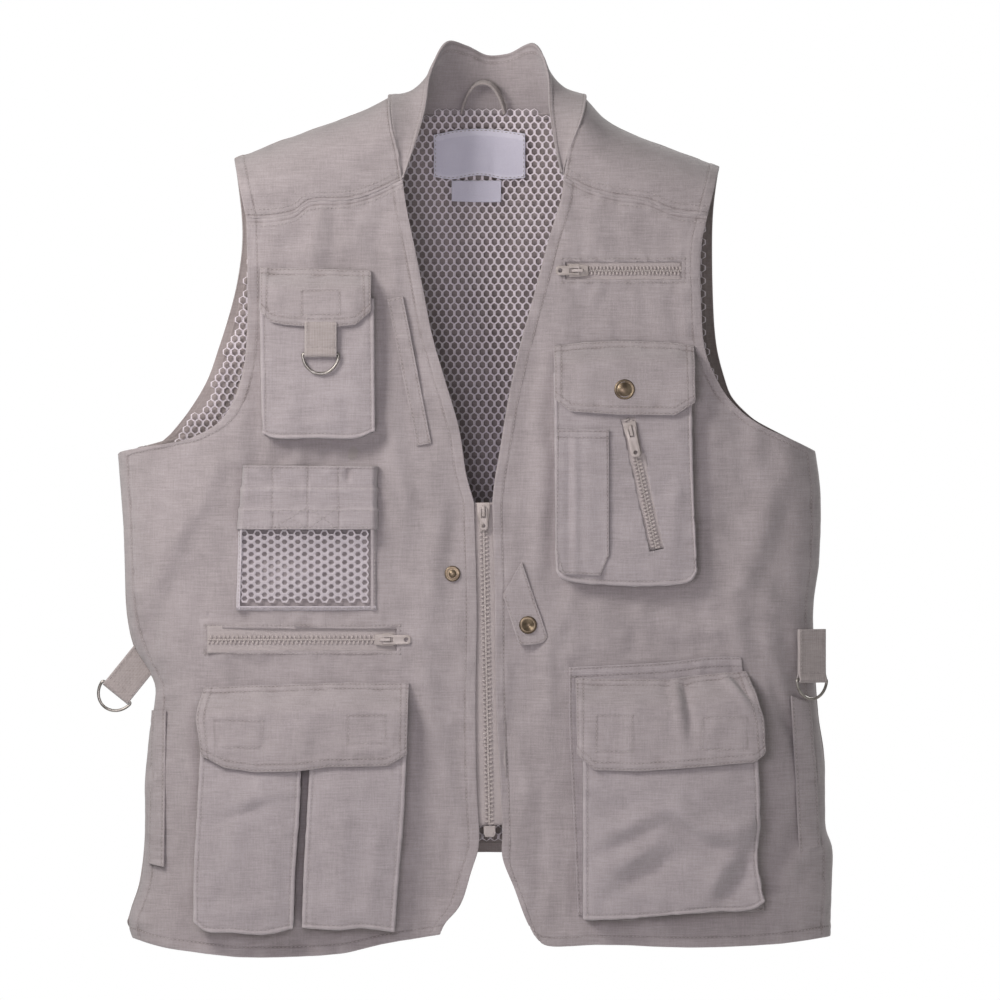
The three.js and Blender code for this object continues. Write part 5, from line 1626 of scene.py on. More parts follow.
def thin_piece(shop: Workshop, name: str, node: str, outline: Outline, out: float, thickness: float,
        weave: Weave,
               material: bpy.types.Material, slot: str, hems: dict[Edge, Hem] | None = None) -> Cloth:
    """A flat sewn-on piece, such as a welt, a sleeve or a pocket bag.

    Args:
        shop: The shared workshop.
        name: The piece's name.
        node: The frame node that it stands for.
        outline: Its outline.
        out: How far it stands from the shell's middle surface.
        thickness: Its cloth thickness.
        weave: How it lies.
        material: Its finish.
        slot: Its material slot, which is not used.
        hems: Its turned edges.

    Returns:
        The settled cloth.
    """
    us = stations(max(outline.bottom.length, outline.top.length, 24), 2.2)
    vs = stations(max(outline.left.length, 24), 2.4)
    cloth = Cloth(name, outline, us, vs)
    cloth.on_front(out).lie(weave, 8.0)
    if hems:
        cloth.hem(hems, seed=37)
    cloth.settle()
    dress(cloth.mesh(thickness), material, slot, SHELL_BODY, node)
    for edge, hem in (hems or {}).items():
        for row in hem.rows:
            shop.stitches.add(SHELL_BODY, cloth.trace(edge, row, 1.0))
    return cloth


# ---------------------------------------------------------------- zips
@dataclass
class Zip:
    """A zip chain: two woven tapes, two rows of teeth, a slider and its pull."""

    name: str
    start: Array
    direction: Array
    length: float
    tape: float
    chain_nodes: tuple[str, ...]
    teeth_nodes: tuple[str, ...] = ()

    def build(self, shop: Workshop) -> None:
        """Builds the tapes, the teeth and the metal parts."""
        aside = np.array([-self.direction[2], 0.0, self.direction[0]])
        for sign, label in ((-1, "low"), (1, "high")):
            near, far = sign * 0.5, sign * (self.tape / 2 + 1.2)
            start = self.start + np.array([0, 0.2, 0])
            corners = [start + aside * near, start + aside * far]
            rows = np.linspace(0, 1, max(20, int(self.length / 3)))
            across = np.linspace(0, 1, 9)
            grid = np.array([[corners[0] * (1 - a) + corners[1] * a + self.direction * self.length * r
                for a in across] for r in rows])
            strip = Cloth(f"{self.name}_tape_{label}", UNIT, across, rows)
            strip.points = grid
            ridge = 0.15 * np.sin(across * 14)[None] + 0.2 * Crumple(81).at(rows * self.length / 16,
                np.full(len(rows), sign * 2.0))[:, None]
            strip.points[..., 1] += ridge
            flip = -1 if np.cross(grid[0, -1] - grid[0, 0], grid[-1, 0] - grid[0, 0])[1] > 0 else 1
            node = self.chain_nodes[0] if len(self.chain_nodes) == 1 else self.chain_nodes[0 if sign < 0
                else 1]
            dress(strip.mesh(0.6, flip), shop.finishes.tape, "zip_tape", SHELL_BODY, node)
        self.teeth(shop, aside)
        for part in ("slider", "pull"):
            node = f"{self.name}_zip_{part}"
            dress(softened_copy(node, f"{self.name}_metal_{part}", 0.28), shop.finishes.painted,
                "painted_metal", node, node)

    def teeth(self, shop: Workshop, aside: Array) -> None:
        """Both rows of teeth, half a pitch apart."""
        pitch = 3.4 if self.tape > 16 else 2.8
        for sign, label in ((-1, "low"), (1, "high")):
            template = tooth_template(self.direction, aside * sign)
            shift = 0.5 * pitch if sign > 0 else 0.0
            line = [self.start + self.direction * (1.5 + shift),
                self.start + self.direction * (self.length - 3 + shift)]
            data = bpy.data.meshes.new(f"{self.name}_teeth_line")
            data.from_pydata(to_row(np.array(line)).tolist(), [(0, 1)], [])
            piece = shop.teeth.bake(f"{self.name}_teeth_{label}", data, {
                "Pitch": pitch * MM, "Tooth": template, "Material": shop.finishes.teeth})
            bpy.data.objects.remove(template, do_unlink=True)
            nodes = [self.teeth_nodes[0 if sign < 0 else 1]] if self.teeth_nodes else []
            dress(piece, shop.finishes.teeth, "zip_teeth", SHELL_BODY, *nodes)


UNIT = Outline(Line([(0, 0), (0, 1)]), Line([(1, 0), (1, 1)]), Line([(0, 0), (1, 0)]), Line([(0, 1), (1, 1)]))


def tooth_template(direction: Array, aside: Array) -> Thing:
    """One tooth: a rounded bar that reaches from its tape over the chain's middle, with a knob at its tip."""
    work = bmesh.new()
    out = np.array([0.0, 1.0, 0.0])
    for (low, high, half_along, half_out) in ((-0.8, 0.9, 1.1, 1.1), (0.9, 3.4, 0.78, 1.3)):
        corners = [
            work.verts.new(tuple((aside * a + direction * d + out * o) * MM))
            for a in (low, high) for d in (-half_along, half_along) for o in (-half_out, half_out)
        ]
        for face in ((0, 1, 3, 2), (4, 6, 7, 5), (0, 4, 5, 1), (2, 3, 7, 6), (0, 2, 6, 4), (1, 5, 7, 3)):
            work.faces.new([corners[i] for i in face])
    bmesh.ops.recalc_face_normals(work, faces=work.faces)
    bmesh.ops.bevel(work, geom=list(work.edges), offset=0.25 * MM, segments=1, affect="EDGES")
    data = bpy.data.meshes.new("tooth")
    work.to_mesh(data)
    work.free()
    return link("tooth", data)


# ---------------------------------------------------------------- webbing tabs and rings
@dataclass
class RingTab:
    """A webbing tab folded round the bar of a D-ring."""

    tab_node: str
    ring_node: str
    width: float
    length: float
    lean: float = 0.0
    yaw: float = 0.0
    tab_body: str = ""
    tuck: float = 0.0
    tuck_depth: float = 8.0

    def build(self, shop: Workshop, origin: Array) -> None:
        """Builds the folded tab and the bent ring from the sewn end's place."""
        turn = np.array(Matrix.Rotation(self.yaw, 3, "Z") @ Matrix.Rotation(self.lean, 3, "Y"))
        eye = 2.25
        centre = -self.length + 2.85
        fold = [(eye * math.cos(a), centre + eye * math.sin(a))
            for a in np.linspace(math.radians(160), math.radians(380), 22)]
        front = [(-0.75, z) for z in np.linspace(0, centre + 4.2, 14)]
        back = [(0.75, z) for z in np.linspace(centre + 4.2, 0, 14)]
        route = np.array(front + fold + back)
        across = np.linspace(-self.width / 2, self.width / 2, 26)
        noise = Crumple(91)
        local = np.zeros((len(across), len(route), 3))
        local[..., 0] = across[:, None]
        local[..., 1] = route[None, :, 0] + 0.18 * noise.at(across[:, None] / 8 + 0 * route[None, :, 1],
            route[None, :, 1] / 8)
        local[..., 2] = route[None, :, 1]
        strip = Cloth(f"{self.tab_node}_webbing", UNIT, np.linspace(0, 1, len(route)),
            np.linspace(0, 1, len(across)))
        edge = np.minimum(across - across[0], across[-1] - across)
        # Paler along both edges (edge rubbing) and in stripes over the raised ribs (painted highlight).
        strip.wear_and_painted_light += 0.6 * np.exp(-(edge / 1.2) ** 2)[:, None] + 0.25 * (np.sin(across * 3.0) > 0.3)[:, None]
        local[..., 1] += 0.12 * np.sin(across * 3.0)[:, None] * np.sign(route[None, :, 0])
        tucked = np.clip((route[:, 1] + self.tuck_depth) / 6, 0, 1)
        local[..., 1] += self.tuck * (tucked * tucked * (3 - 2 * tucked))[None]
        strip.points = local @ turn.T + origin
        dress(strip.mesh(1.1, -1), shop.finishes.webbing, "cloth", self.tab_body, self.tab_node)
        self.sew(shop, turn, origin, centre)
        half, drop = 14.1, 15.5
        bar = [(-half + 1.8 + (2 * half - 3.6) * t, 0.0) for t in np.linspace(0, 1, 9)]
        arc = [(half * math.cos(a), -drop * math.sin(a))
            for a in np.linspace(math.radians(7), math.radians(173), 44)]
        ring = smooth_line([*bar, (half - 0.5, -0.5), *arc, (-half + 0.5, -0.5), bar[0]], 3)[:-1]
        route = np.stack([ring[:, 0], np.zeros(len(ring)), ring[:, 1] + centre], axis=-1) @ turn.T + origin
        wire = swept(f"{self.ring_node}_wire", to_row(route), 1.15 * MM)
        dress(wire, shop.finishes.dark_metal, "dark_metal", self.ring_node, self.ring_node)

    def sew(self, shop: Workshop, turn: Array, origin: Array, centre: float) -> None:
        """The rows of stitches across the tab above its ring, and down its sides."""
        half = self.width / 2 - 1.8
        rows = [np.array([(a, -1.45, centre + 5.2) for a in np.linspace(-half, half, 12)])]
        for sign in (-1, 1):
            rows.append(np.array([(sign * half, -1.45, z) for z in np.linspace(-1.5, centre + 5.2, 14)]))
        shop.stitches.add(self.tab_body, *[row @ turn.T + origin for row in rows])


# ---------------------------------------------------------------- the whole vest
@dataclass
class Shell:
    """The shell: back, fronts, yokes, collar and lining."""

    def build(self, shop: Workshop) -> None:
        """Builds every shell piece."""
        BackPanel(
            right_armhole=[(-262, 394), (-253, 400), (-237, 419), (-221, 445), (-212, 470), (-204, 496),
                (-197, 524),
                           (-193, 560), (-198, 618)],
            left_armhole=[(240, 398), (216, 411), (204, 420), (193, 432), (187, 448), (181, 472), (178, 512),
                          (178, 575), (182, 612)],
            hem=[(-279, 14), (-180, 42), (-90, 66), (5, 73), (100, 64), (180, 42), (269, 14)],
            neck=[(-76, 667), (-66, 660), (-48, 656), (0, 655), (48, 656), (66, 660), (76, 667)],
        ).build(shop)
        Lining().build(shop)
        right_seam = [(-188, 571), (-169, 571), (-150, 575), (-139, 583), (-108, 585), (-90, 590), (-66, 601)]
        left_seam = [(172, 573), (146, 576), (125, 584), (99, 588), (80, 593), (60, 603)]
        FrontPanel(
            Side.RIGHT,
            armhole=[(-275, 391), (-251, 395), (-232, 399), (-211, 410), (-200, 424), (-192, 445),
                (-188, 468), (-187, 526), (-188, 571)],
            edge_low=[(-37, 12), (-33, 20), (-21, 35), (-12, 62), (-7, 78), (-6, 90)],
            edge_mid=[(-6, 90), (-8, 125), (-9, 195), (-8, 265), (-10, 349)],
            edge_neck=[(-10, 349), (-16, 370), (-22, 407), (-33, 445), (-43, 480), (-50, 515), (-57, 550),
                (-63, 580), (-66, 601)],
            yoke_seam=right_seam,
            hem=[(-278, 8), (-255, 2), (-213, -4), (-182, -6), (-116, -3), (-79, 5), (-37, 12)],
            window=(-217.5, -70.5, 233.5, 250.5),
            weave=Weave(wave=3.4, wave_size=60, crumple=0.8, drape=2.2, seed=2, folds=(
                Fold(0.78, 0.62, 98, 60, 9, 3.1), Fold(0.88, 0.5, 80, 50, 8, 2.5),
                Fold(0.2, 0.56, 64, 55, 9, 3.7),
                Fold(0.1, 0.42, 70, 60, 8, -3.1), Fold(0.86, 0.33, 95, 70, 9, 2.7),
                Fold(0.93, 0.2, 100, 60, 7, 2.4),
                Fold(0.5, 0.645, 96, 16, 5, 1.6), Fold(0.58, 0.64, 86, 18, 5, -1.4),
                Fold(0.42, 0.65, 84, 16, 5, 1.4),
                Fold(0.74, 0.6, 118, 46, 7, 2.6), Fold(0.8, 0.55, 108, 40, 7, -2.2),
                Fold(0.3, 0.33, 92, 26, 6, 1.8),
                Fold(0.5, 0.32, 84, 22, 6, -1.6), Fold(0.06, 0.2, 84, 60, 8, 3.1),
                Fold(0.45, 0.9, 10, 60, 8, 2.0), Fold(0.1, 0.33, 20, 26, 6, 2.7))),
        ).build(shop)
        FrontPanel(
            Side.LEFT,
            armhole=[(240, 397), (214, 409), (201, 418), (189, 430), (181, 442), (171, 465), (167, 500),
                (167, 549), (172, 573)],
            edge_low=[(37, 12), (31, 23), (22, 47), (12, 72), (12, 90)],
            edge_mid=[(12, 90), (11, 125), (7, 195), (6, 289), (4, 349)],
            edge_neck=[(4, 349), (6, 367), (10, 390), (17, 432), (26, 472), (38, 516), (48, 554), (58, 587),
                (60, 603)],
            yoke_seam=left_seam,
            hem=[(269, 9), (221, 4), (166, 2), (88, 4), (45, 4), (37, 12)],
            window=(61.2, 151.8, 523.2, 536.8),
            weave=Weave(wave=3.4, wave_size=64, crumple=0.8, drape=2.2, seed=3, folds=(
                Fold(0.14, 0.55, 84, 60, 9, 3.4), Fold(0.8, 0.55, 70, 70, 11, 4.1),
                Fold(0.88, 0.35, 100, 60, 9, -3.1),
                Fold(0.16, 0.36, 92, 50, 8, 2.4), Fold(0.9, 0.12, 60, 40, 8, 3.4),
                Fold(0.5, 0.42, 172, 60, 8, 2.5),
                Fold(0.3, 0.36, 158, 34, 7, 2.4), Fold(0.42, 0.33, 168, 36, 7, -2.2),
                Fold(0.2, 0.42, 70, 26, 6, 1.8),
                Fold(0.68, 0.42, 20, 34, 8, 2.2), Fold(0.86, 0.3, 112, 40, 6, -3.6),
                Fold(0.93, 0.24, 106, 40, 7, 3.4),
                Fold(0.9, 0.14, 20, 30, 7, -3.0), Fold(0.86, 0.07, 10, 34, 6, 2.8),
                Fold(0.05, 0.28, 84, 50, 6, -2.4),
                Fold(0.3, 0.02, 4, 50, 5, 2.2), Fold(0.82, 0.45, 140, 36, 8, 2.7),
                Fold(0.35, 0.88, 12, 60, 8, 2.0))),
        ).build(shop)
        Yoke(Side.RIGHT, right_seam, [(-69, 622), (-74, 644), (-75.5, 660)], TUBE.right_shoulder).build(shop)
        Yoke(Side.LEFT, left_seam, [(64, 625), (72, 647), (75, 660)], TUBE.left_shoulder).build(shop)
        Collar(
            seam=[(-67, 602, -42), (-70.5, 622, -42), (-75.5, 644, -40), (-77.5, 660, -25), (-76.5, 669, 0),
                (-65, 655, 24.5),
                  (-46, 652, 33.5), (0, 649, 35.5), (46, 652, 33.5), (65, 655, 24.5), (76.5, 669, 0),
                  (77, 660, -25),
                  (73.5, 647, -40), (65, 625, -42), (59.5, 605, -42)],
            top=[(-65.6, 602.6, -42.3), (-58.5, 622, -41), (-48.5, 656, -31), (-44, 686, -14), (-31, 711, 4),
                (-16, 709, 18),
                 (0, 702, 27), (16, 703, 26), (36, 710, 8), (46.5, 688, -12), (48.8, 656, -28),
                 (54, 624, -39), (58.4, 606, -42.2)],
        ).build(shop)


@dataclass
class Pockets:
    """Every pouch, flap, welt, sleeve and pocket bag."""

    def build(self, shop: Workshop) -> None:
        """Builds the pockets from the top down, the wearer's right side first."""
        self.right_chest(shop)
        MeshPocket().build(shop)
        self.right_lower(shop)
        self.left_chest(shop)
        self.left_lower(shop)
        self.welts(shop)
        self.bags(shop)

    def right_chest(self, shop: Workshop) -> None:
        """The right chest pouch with its flap and ring tab."""
        node = "right_chest_pouch"
        Pouch(node, "right_chest_pocket", framed(
            node, [(0.03, 0.03), (0.01, 1)], [(0.99, 0.05), (0.98, 1)],
            [(0.03, 0.03), (0.12, 0.0), (0.5, 0.0), (0.84, 0.0), (0.99, 0.05)], [(0.01, 1), (0.98, 1)]),
            1.2, Weave(wave=1.6, wave_size=45, crumple=0.6, seed=101, folds=(
                Fold(0.3, 0.3, 80, 30, 9, 1.6), Fold(0.75, 0.25, 100, 30, 8, -1.4),
                Fold(0.5, 0.1, 5, 30, 5, 1.2))),
            flap="right_chest_flap").build(shop)
        node = "right_chest_flap"
        Flap(node, "right_chest_pocket_flap", node, framed(
            node, [(0.015, 0.27), (0, 1)], [(1, 0.26), (1, 0.95)],
            [(0.015, 0.27), (0.1, 0.08), (0.22, 0.03), (0.45, 0.0), (0.7, 0.0), (0.86, 0.03), (1, 0.26)],
            [(0, 1), (0.5, 0.98), (1, 0.95)], sharp=True),
            1.0, 18.0, Weave(wave=0.8, wave_size=34, crumple=0.3, seed=103, folds=(
                Fold(0.15, 0.5, 100, 14, 6, 1.0), Fold(0.85, 0.5, 80, 14, 7, 0.9))),
                ((0.38, 0.72, 0.2, 0.6),)).build(shop)
        low, high = cad_box("right_chest_ring_tab")
        start = cad_box("right_chest_flap")[0][2] + 9.0
        ring = RingTab("right_chest_ring_tab", "right_chest_d_ring", 25.0, start - low[2],
            tab_body="right_chest_flap", tuck=4.6)
        ring.build(shop, np.array([(low[0] + high[0]) / 2, (low[1] + high[1]) / 2, start]))
        hook = thin_piece(shop, "flap_hook_tape", "right_chest_flap_hook_patch", framed(
            "right_chest_flap_hook_patch", [(0, 0), (0, 1)], [(1, 0), (1, 1)], [(0, 0), (1, 0)],
            [(0, 1), (1, 1)]),
            14.4, 0.8, Weave(wave=0.1, crumple=0.15, crumple_size=2.0, seed=5), shop.finishes.bag,
            "hook_tape")

    def right_lower(self, shop: Workshop) -> None:
        """The two narrow pouches under one wide flap."""
        node = "right_lower_pouch_outer"
        Pouch(node, "right_lower_outer_pocket", framed(
            node, [(0.02, 0.06), (0.03, 0.3), (0.06, 0.62), (0.1, 1)],
            [(0.91, 0.03), (0.93, 0.31), (0.97, 0.62), (0.99, 1)],
            [(0.02, 0.06), (0.12, 0.015), (0.34, 0.01), (0.63, 0.0), (0.91, 0.03)], [(0.1, 1), (0.99, 1)]),
            1.2, Weave(wave=1.6, wave_size=42, crumple=0.5, seed=111, folds=(
                Fold(0.35, 0.45, 84, 45, 8, 2.4, 0.3), Fold(0.7, 0.3, 96, 40, 7, 1.8),
                Fold(0.5, 0.12, 8, 26, 6, 1.6),
                Fold(0.25, 0.2, 60, 26, 6, -1.6), Fold(0.55, 0.66, 14, 22, 5, 2.2),
                Fold(0.4, 0.58, 20, 22, 5, -1.8))),
            flap="right_lower_flap", crown=3.6).build(shop)
        node = "right_lower_pouch_inner"
        Pouch(node, "right_lower_inner_pocket", framed(
            node, [(0.005, 0.02), (0.02, 0.25), (0.05, 0.55), (0.1, 1)],
            [(0.87, 0.0), (0.92, 0.35), (0.96, 0.61), (0.99, 1)],
            [(0.005, 0.02), (0.34, 0.01), (0.57, 0.02), (0.87, 0.0)], [(0.1, 1), (0.99, 1)]),
            1.2, Weave(wave=1.6, wave_size=42, crumple=0.5, seed=113, folds=(
                Fold(0.4, 0.5, 96, 45, 8, 2.2, -0.3), Fold(0.68, 0.28, 82, 40, 7, 1.8),
                Fold(0.4, 0.1, 172, 26, 6, 1.5),
                Fold(0.2, 0.3, 100, 24, 6, -1.3))), flap="right_lower_flap", crown=3.6).build(shop)
        node = "right_lower_flap"
        Flap(node, "right_lower_pocket_flap", node, framed(
            node, [(0.04, 0.19), (0.02, 0.6), (0.03, 0.95)], [(0.99, 0.2), (0.995, 0.6), (1, 1)],
            [(0.04, 0.19), (0.14, 0.05), (0.28, 0.0), (0.46, 0.01), (0.62, 0.06), (0.9, 0.07), (0.99, 0.2)],
            [(0.03, 0.95), (0.4, 0.98), (0.7, 1), (1, 1)], sharp=True),
            1.4, 24.0, Weave(wave=1.4, wave_size=44, crumple=0.45, seed=115, folds=(
                Fold(0.5, 0.4, 86, 26, 7, 1.6), Fold(0.33, 0.5, 70, 24, 6, -1.2),
                Fold(0.72, 0.2, 12, 30, 5, 1.2))),
            ((0.1, 0.31, 0.28, 0.58), (0.715, 0.89, 0.33, 0.64)), curl=1.6).build(shop)

    def left_chest(self, shop: Workshop) -> None:
        """The left chest pouch with its snap flap, tool sleeve and slanting zip."""
        node = "left_chest_pouch"
        pouch = Pouch(node, "left_chest_pocket", framed(
            node, [(0.015, 0.07), (0.0, 1)], [(1, 0.07), (0.97, 0.54), (0.96, 1)],
            [(0.015, 0.07), (0.07, 0.03), (0.46, 0.0), (0.75, 0.0), (0.95, 0.02), (1, 0.07)],
            [(0, 1), (0.96, 1)]),
            1.2, Weave(wave=1.8, wave_size=50, crumple=0.6, seed=121, folds=(
                Fold(0.85, 0.35, 84, 50, 7, 1.6), Fold(0.55, 0.15, 20, 26, 6, 1.2))), flap="left_chest_flap",
                crown=1.0)
        pouch.build(shop)
        slant = ZIPS["diagonal"]
        aside = np.array([-slant.direction[2], 0, slant.direction[0]])
        half = slant.tape / 2 - 0.4
        ring = [slant.start + aside * half, slant.start - aside * half]
        ring += [point + slant.direction * (slant.length + 0.4) for point in (ring[1], ring[0])]
        cut_window(pouch.piece, [(p[0], p[2]) for p in ring], (-75, -48))
        node = "left_chest_flap"
        Flap(node, "left_chest_pocket_flap", node, framed(
            node, [(0.01, 0.22), (0, 0.93)], [(1, 0.17), (1, 0.93)],
            [(0.01, 0.22), (0.12, 0.05), (0.44, 0.01), (0.86, 0.0), (1, 0.17)],
            [(0, 0.93), (0.22, 0.98), (0.47, 1), (0.83, 0.98), (1, 0.93)], sharp=True),
            1.0, 18.0, Weave(wave=0.9, wave_size=40, crumple=0.35, seed=123, folds=(
                Fold(0.5, 0.3, 90, 16, 10, 0.8), Fold(0.2, 0.5, 100, 20, 7, 1.0)))).build(shop)
        node = "tool_sleeve"
        face = -TUBE.front_depth - cad_box(node)[0][1]
        sleeve = Hem(width=2.6, rise=0.3, rows=(1.5,), pucker=0.35, pitch=8.0)
        thin_piece(shop, "tool_sleeve_cloth", node, framed(
            node, [(0, 0.17), (0, 1)], [(1, 0.14), (1, 1)], [(0, 0.17), (0.13, 0.01), (0.83, 0), (1, 0.14)],
            [(0, 1), (1, 1)],
            sharp=True),
            face + 0.6, 1.0, Weave(wave=0.8, wave_size=30, crumple=0.3, seed=125, folds=(
                Fold(0.36, 0.5, 90, 70, 3, 1.4), Fold(0.24, 0.5, 90, 70, 3, -1.0),
                Fold(0.62, 0.5, 90, 60, 6, 0.9))),
            shop.finishes.pocket, "pocket_cloth",
            {Edge.LEFT: sleeve, Edge.RIGHT: sleeve, Edge.BOTTOM: sleeve,
                Edge.TOP: Hem(7.0, 0.4, (1.5, 6.4), 0.3, 9.0)})

    def left_lower(self, shop: Workshop) -> None:
        """The big left pouch on its slip pocket, with its flap."""
        node = "left_lower_slip_pocket"
        thin_piece(shop, "left_lower_slip_cloth", node, framed(
            node, [(0.045, 0), (0.02, 0.42), (0, 0.76), (0, 0.96)],
            [(1, 0.015), (0.96, 0.19), (0.95, 0.5), (0.92, 0.76), (0.88, 1)],
            [(0.045, 0), (0.4, 0), (0.7, 0.01), (1, 0.015)], [(0, 0.96), (0.5, 0.98), (0.73, 1), (0.88, 1)]),
            2.2, 1.1, Weave(wave=0.9, wave_size=50, crumple=0.3, seed=131, folds=(
                Fold(0.67, 0.97, 80, 16, 4, 1.4), Fold(0.83, 0.97, 100, 14, 4, -1.2))),
            shop.finishes.pocket, "pocket_cloth",
            {Edge.LEFT: Hem(3.0, 0.3, (1.6,), 0.4), Edge.BOTTOM: Hem(3.0, 0.3, (1.6,), 0.4),
                Edge.TOP: Hem(8.0, 0.6, (1.6, 7.4), 0.5)})
        node = "left_lower_pouch"
        Pouch(node, "left_lower_pocket", framed(
            node, [(0.005, 0.0), (0.005, 1)], [(0.995, 0.09), (0.965, 0.27), (0.965, 0.66), (0.94, 1)],
            [(0.005, 0), (0.1, 0.0), (0.37, 0.01), (0.7, 0.04), (0.93, 0.05), (0.995, 0.09)],
            [(0.005, 1), (0.94, 1)]),
            3.6, Weave(wave=3.0, wave_size=55, crumple=0.7, seed=133, folds=(
                Fold(0.16, 0.56, 150, 22, 7, -4.6), Fold(0.3, 0.5, 20, 24, 8, 5.0),
                Fold(0.24, 0.38, 18, 26, 8, -3.2),
                Fold(0.56, 0.52, 148, 34, 8, 5.4), Fold(0.66, 0.4, 152, 34, 7, -6.2, 0.2),
                Fold(0.85, 0.46, 8, 28, 8, 5.0),
                Fold(0.36, 0.24, 28, 30, 9, -5.2), Fold(0.3, 0.34, 32, 26, 9, 4.2),
                Fold(0.86, 0.2, 55, 30, 8, -4.6),
                Fold(0.78, 0.26, 58, 30, 8, 3.4), Fold(0.55, 0.08, 168, 60, 6, 3.0))),
            flap="left_lower_flap", crown=4.0, soft=1.3).build(shop)
        node = "left_lower_flap"
        Flap(node, "left_lower_pocket_flap", node, framed(
            node, [(0.01, 0.18), (0, 0.93)], [(0.98, 0.18), (0.97, 0.52), (0.9, 1)],
            [(0.01, 0.18), (0.1, 0.01), (0.35, 0.0), (0.64, 0.04), (0.93, 0.09), (0.98, 0.18)],
            [(0, 0.93), (0.49, 0.92), (0.68, 0.97), (0.9, 1)], sharp=True),
            3.4, 24.0, Weave(wave=1.5, wave_size=44, crumple=0.5, seed=135, folds=(
                Fold(0.55, 0.66, 98, 24, 4, 4.2), Fold(0.6, 0.7, 96, 22, 3.5, -3.6),
                Fold(0.84, 0.85, 125, 16, 3.5, 3.6),
                Fold(0.89, 0.8, 128, 15, 3.5, -3.0), Fold(0.3, 0.4, 84, 24, 8, 1.6),
                Fold(0.72, 0.4, 60, 26, 8, 1.6))),
            ((0.11, 0.3, 0.2, 0.56), (0.67, 0.89, 0.22, 0.54)), curl=1.8).build(shop)

    def welts(self, shop: Workshop) -> None:
        """The slanting pen welt and the two hand pocket welts."""
        rim = Hem(width=2.4, rise=0.3, rows=(1.5,), pucker=0.4, pitch=9.0)
        rims = {Edge.LEFT: rim, Edge.RIGHT: rim}
        weave = Weave(wave=0.5, wave_size=30, crumple=0.25, seed=141)
        thin_piece(shop, "pen_welt", "pen_pocket_welt", framed(
            "pen_pocket_welt", [(0.68, 0), (0, 0.98)], [(1, 0.02), (0.36, 1)], [(0.68, 0), (1, 0.02)],
            [(0, 0.98), (0.36, 1)]),
            2.4, 1.6, weave, shop.finishes.shell, "cloth", {**rims, Edge.BOTTOM: rim, Edge.TOP: rim})
        thin_piece(shop, "right_hand_welt", "right_hand_pocket_welt", framed(
            "right_hand_pocket_welt", [(0.1, 0.02), (0.2, 0.66), (0.3, 1)], [(0.9, 0), (1, 1)],
            [(0.1, 0.02), (0.9, 0)], [(0.3, 1), (1, 1)]),
            2.4, 1.6, weave, shop.finishes.shell, "cloth", rims)
        thin_piece(shop, "left_hand_welt", "left_hand_pocket_welt", framed(
            "left_hand_pocket_welt", [(0.27, 0), (0, 1)], [(0.93, 0.03), (0.85, 0.36), (0.6, 0.95)],
            [(0.27, 0), (0.93, 0.03)], [(0, 1), (0.6, 0.95)]),
            2.4, 1.6, weave, shop.finishes.shell, "cloth", rims)

    def bags(self, shop: Workshop) -> None:
        """The flat pocket bags that hang inside the fronts."""
        square = ([(0, 0), (0, 1)], [(1, 0), (1, 1)], [(0, 0), (1, 0)], [(0, 1), (1, 1)])
        rim = Hem(width=4.0, rise=0.2, rows=(3.0,), pucker=0.4, pitch=12.0)
        for seed, (node, name) in enumerate((
                ("hip_zip_bag", "hip_bag"), ("left_chest_zip_bag", "left_chest_bag"),
                ("pen_pocket_bag", "pen_bag"),
                ("right_hand_pocket_bag", "right_hand_bag"), ("left_hand_pocket_bag", "left_hand_bag"))):
            low, high = cad_box(node)
            depth = -TUBE.front_depth - (low[1] + high[1]) / 2 if "hand" not in node else -7.0
            thin_piece(shop, name, node, framed(node, *square), depth, 0.7,
                Weave(wave=0.5, crumple=0.3, seed=151 + seed),
                       shop.finishes.bag, "pocket_cloth", {Edge.LEFT: rim, Edge.RIGHT: rim, Edge.BOTTOM: rim})


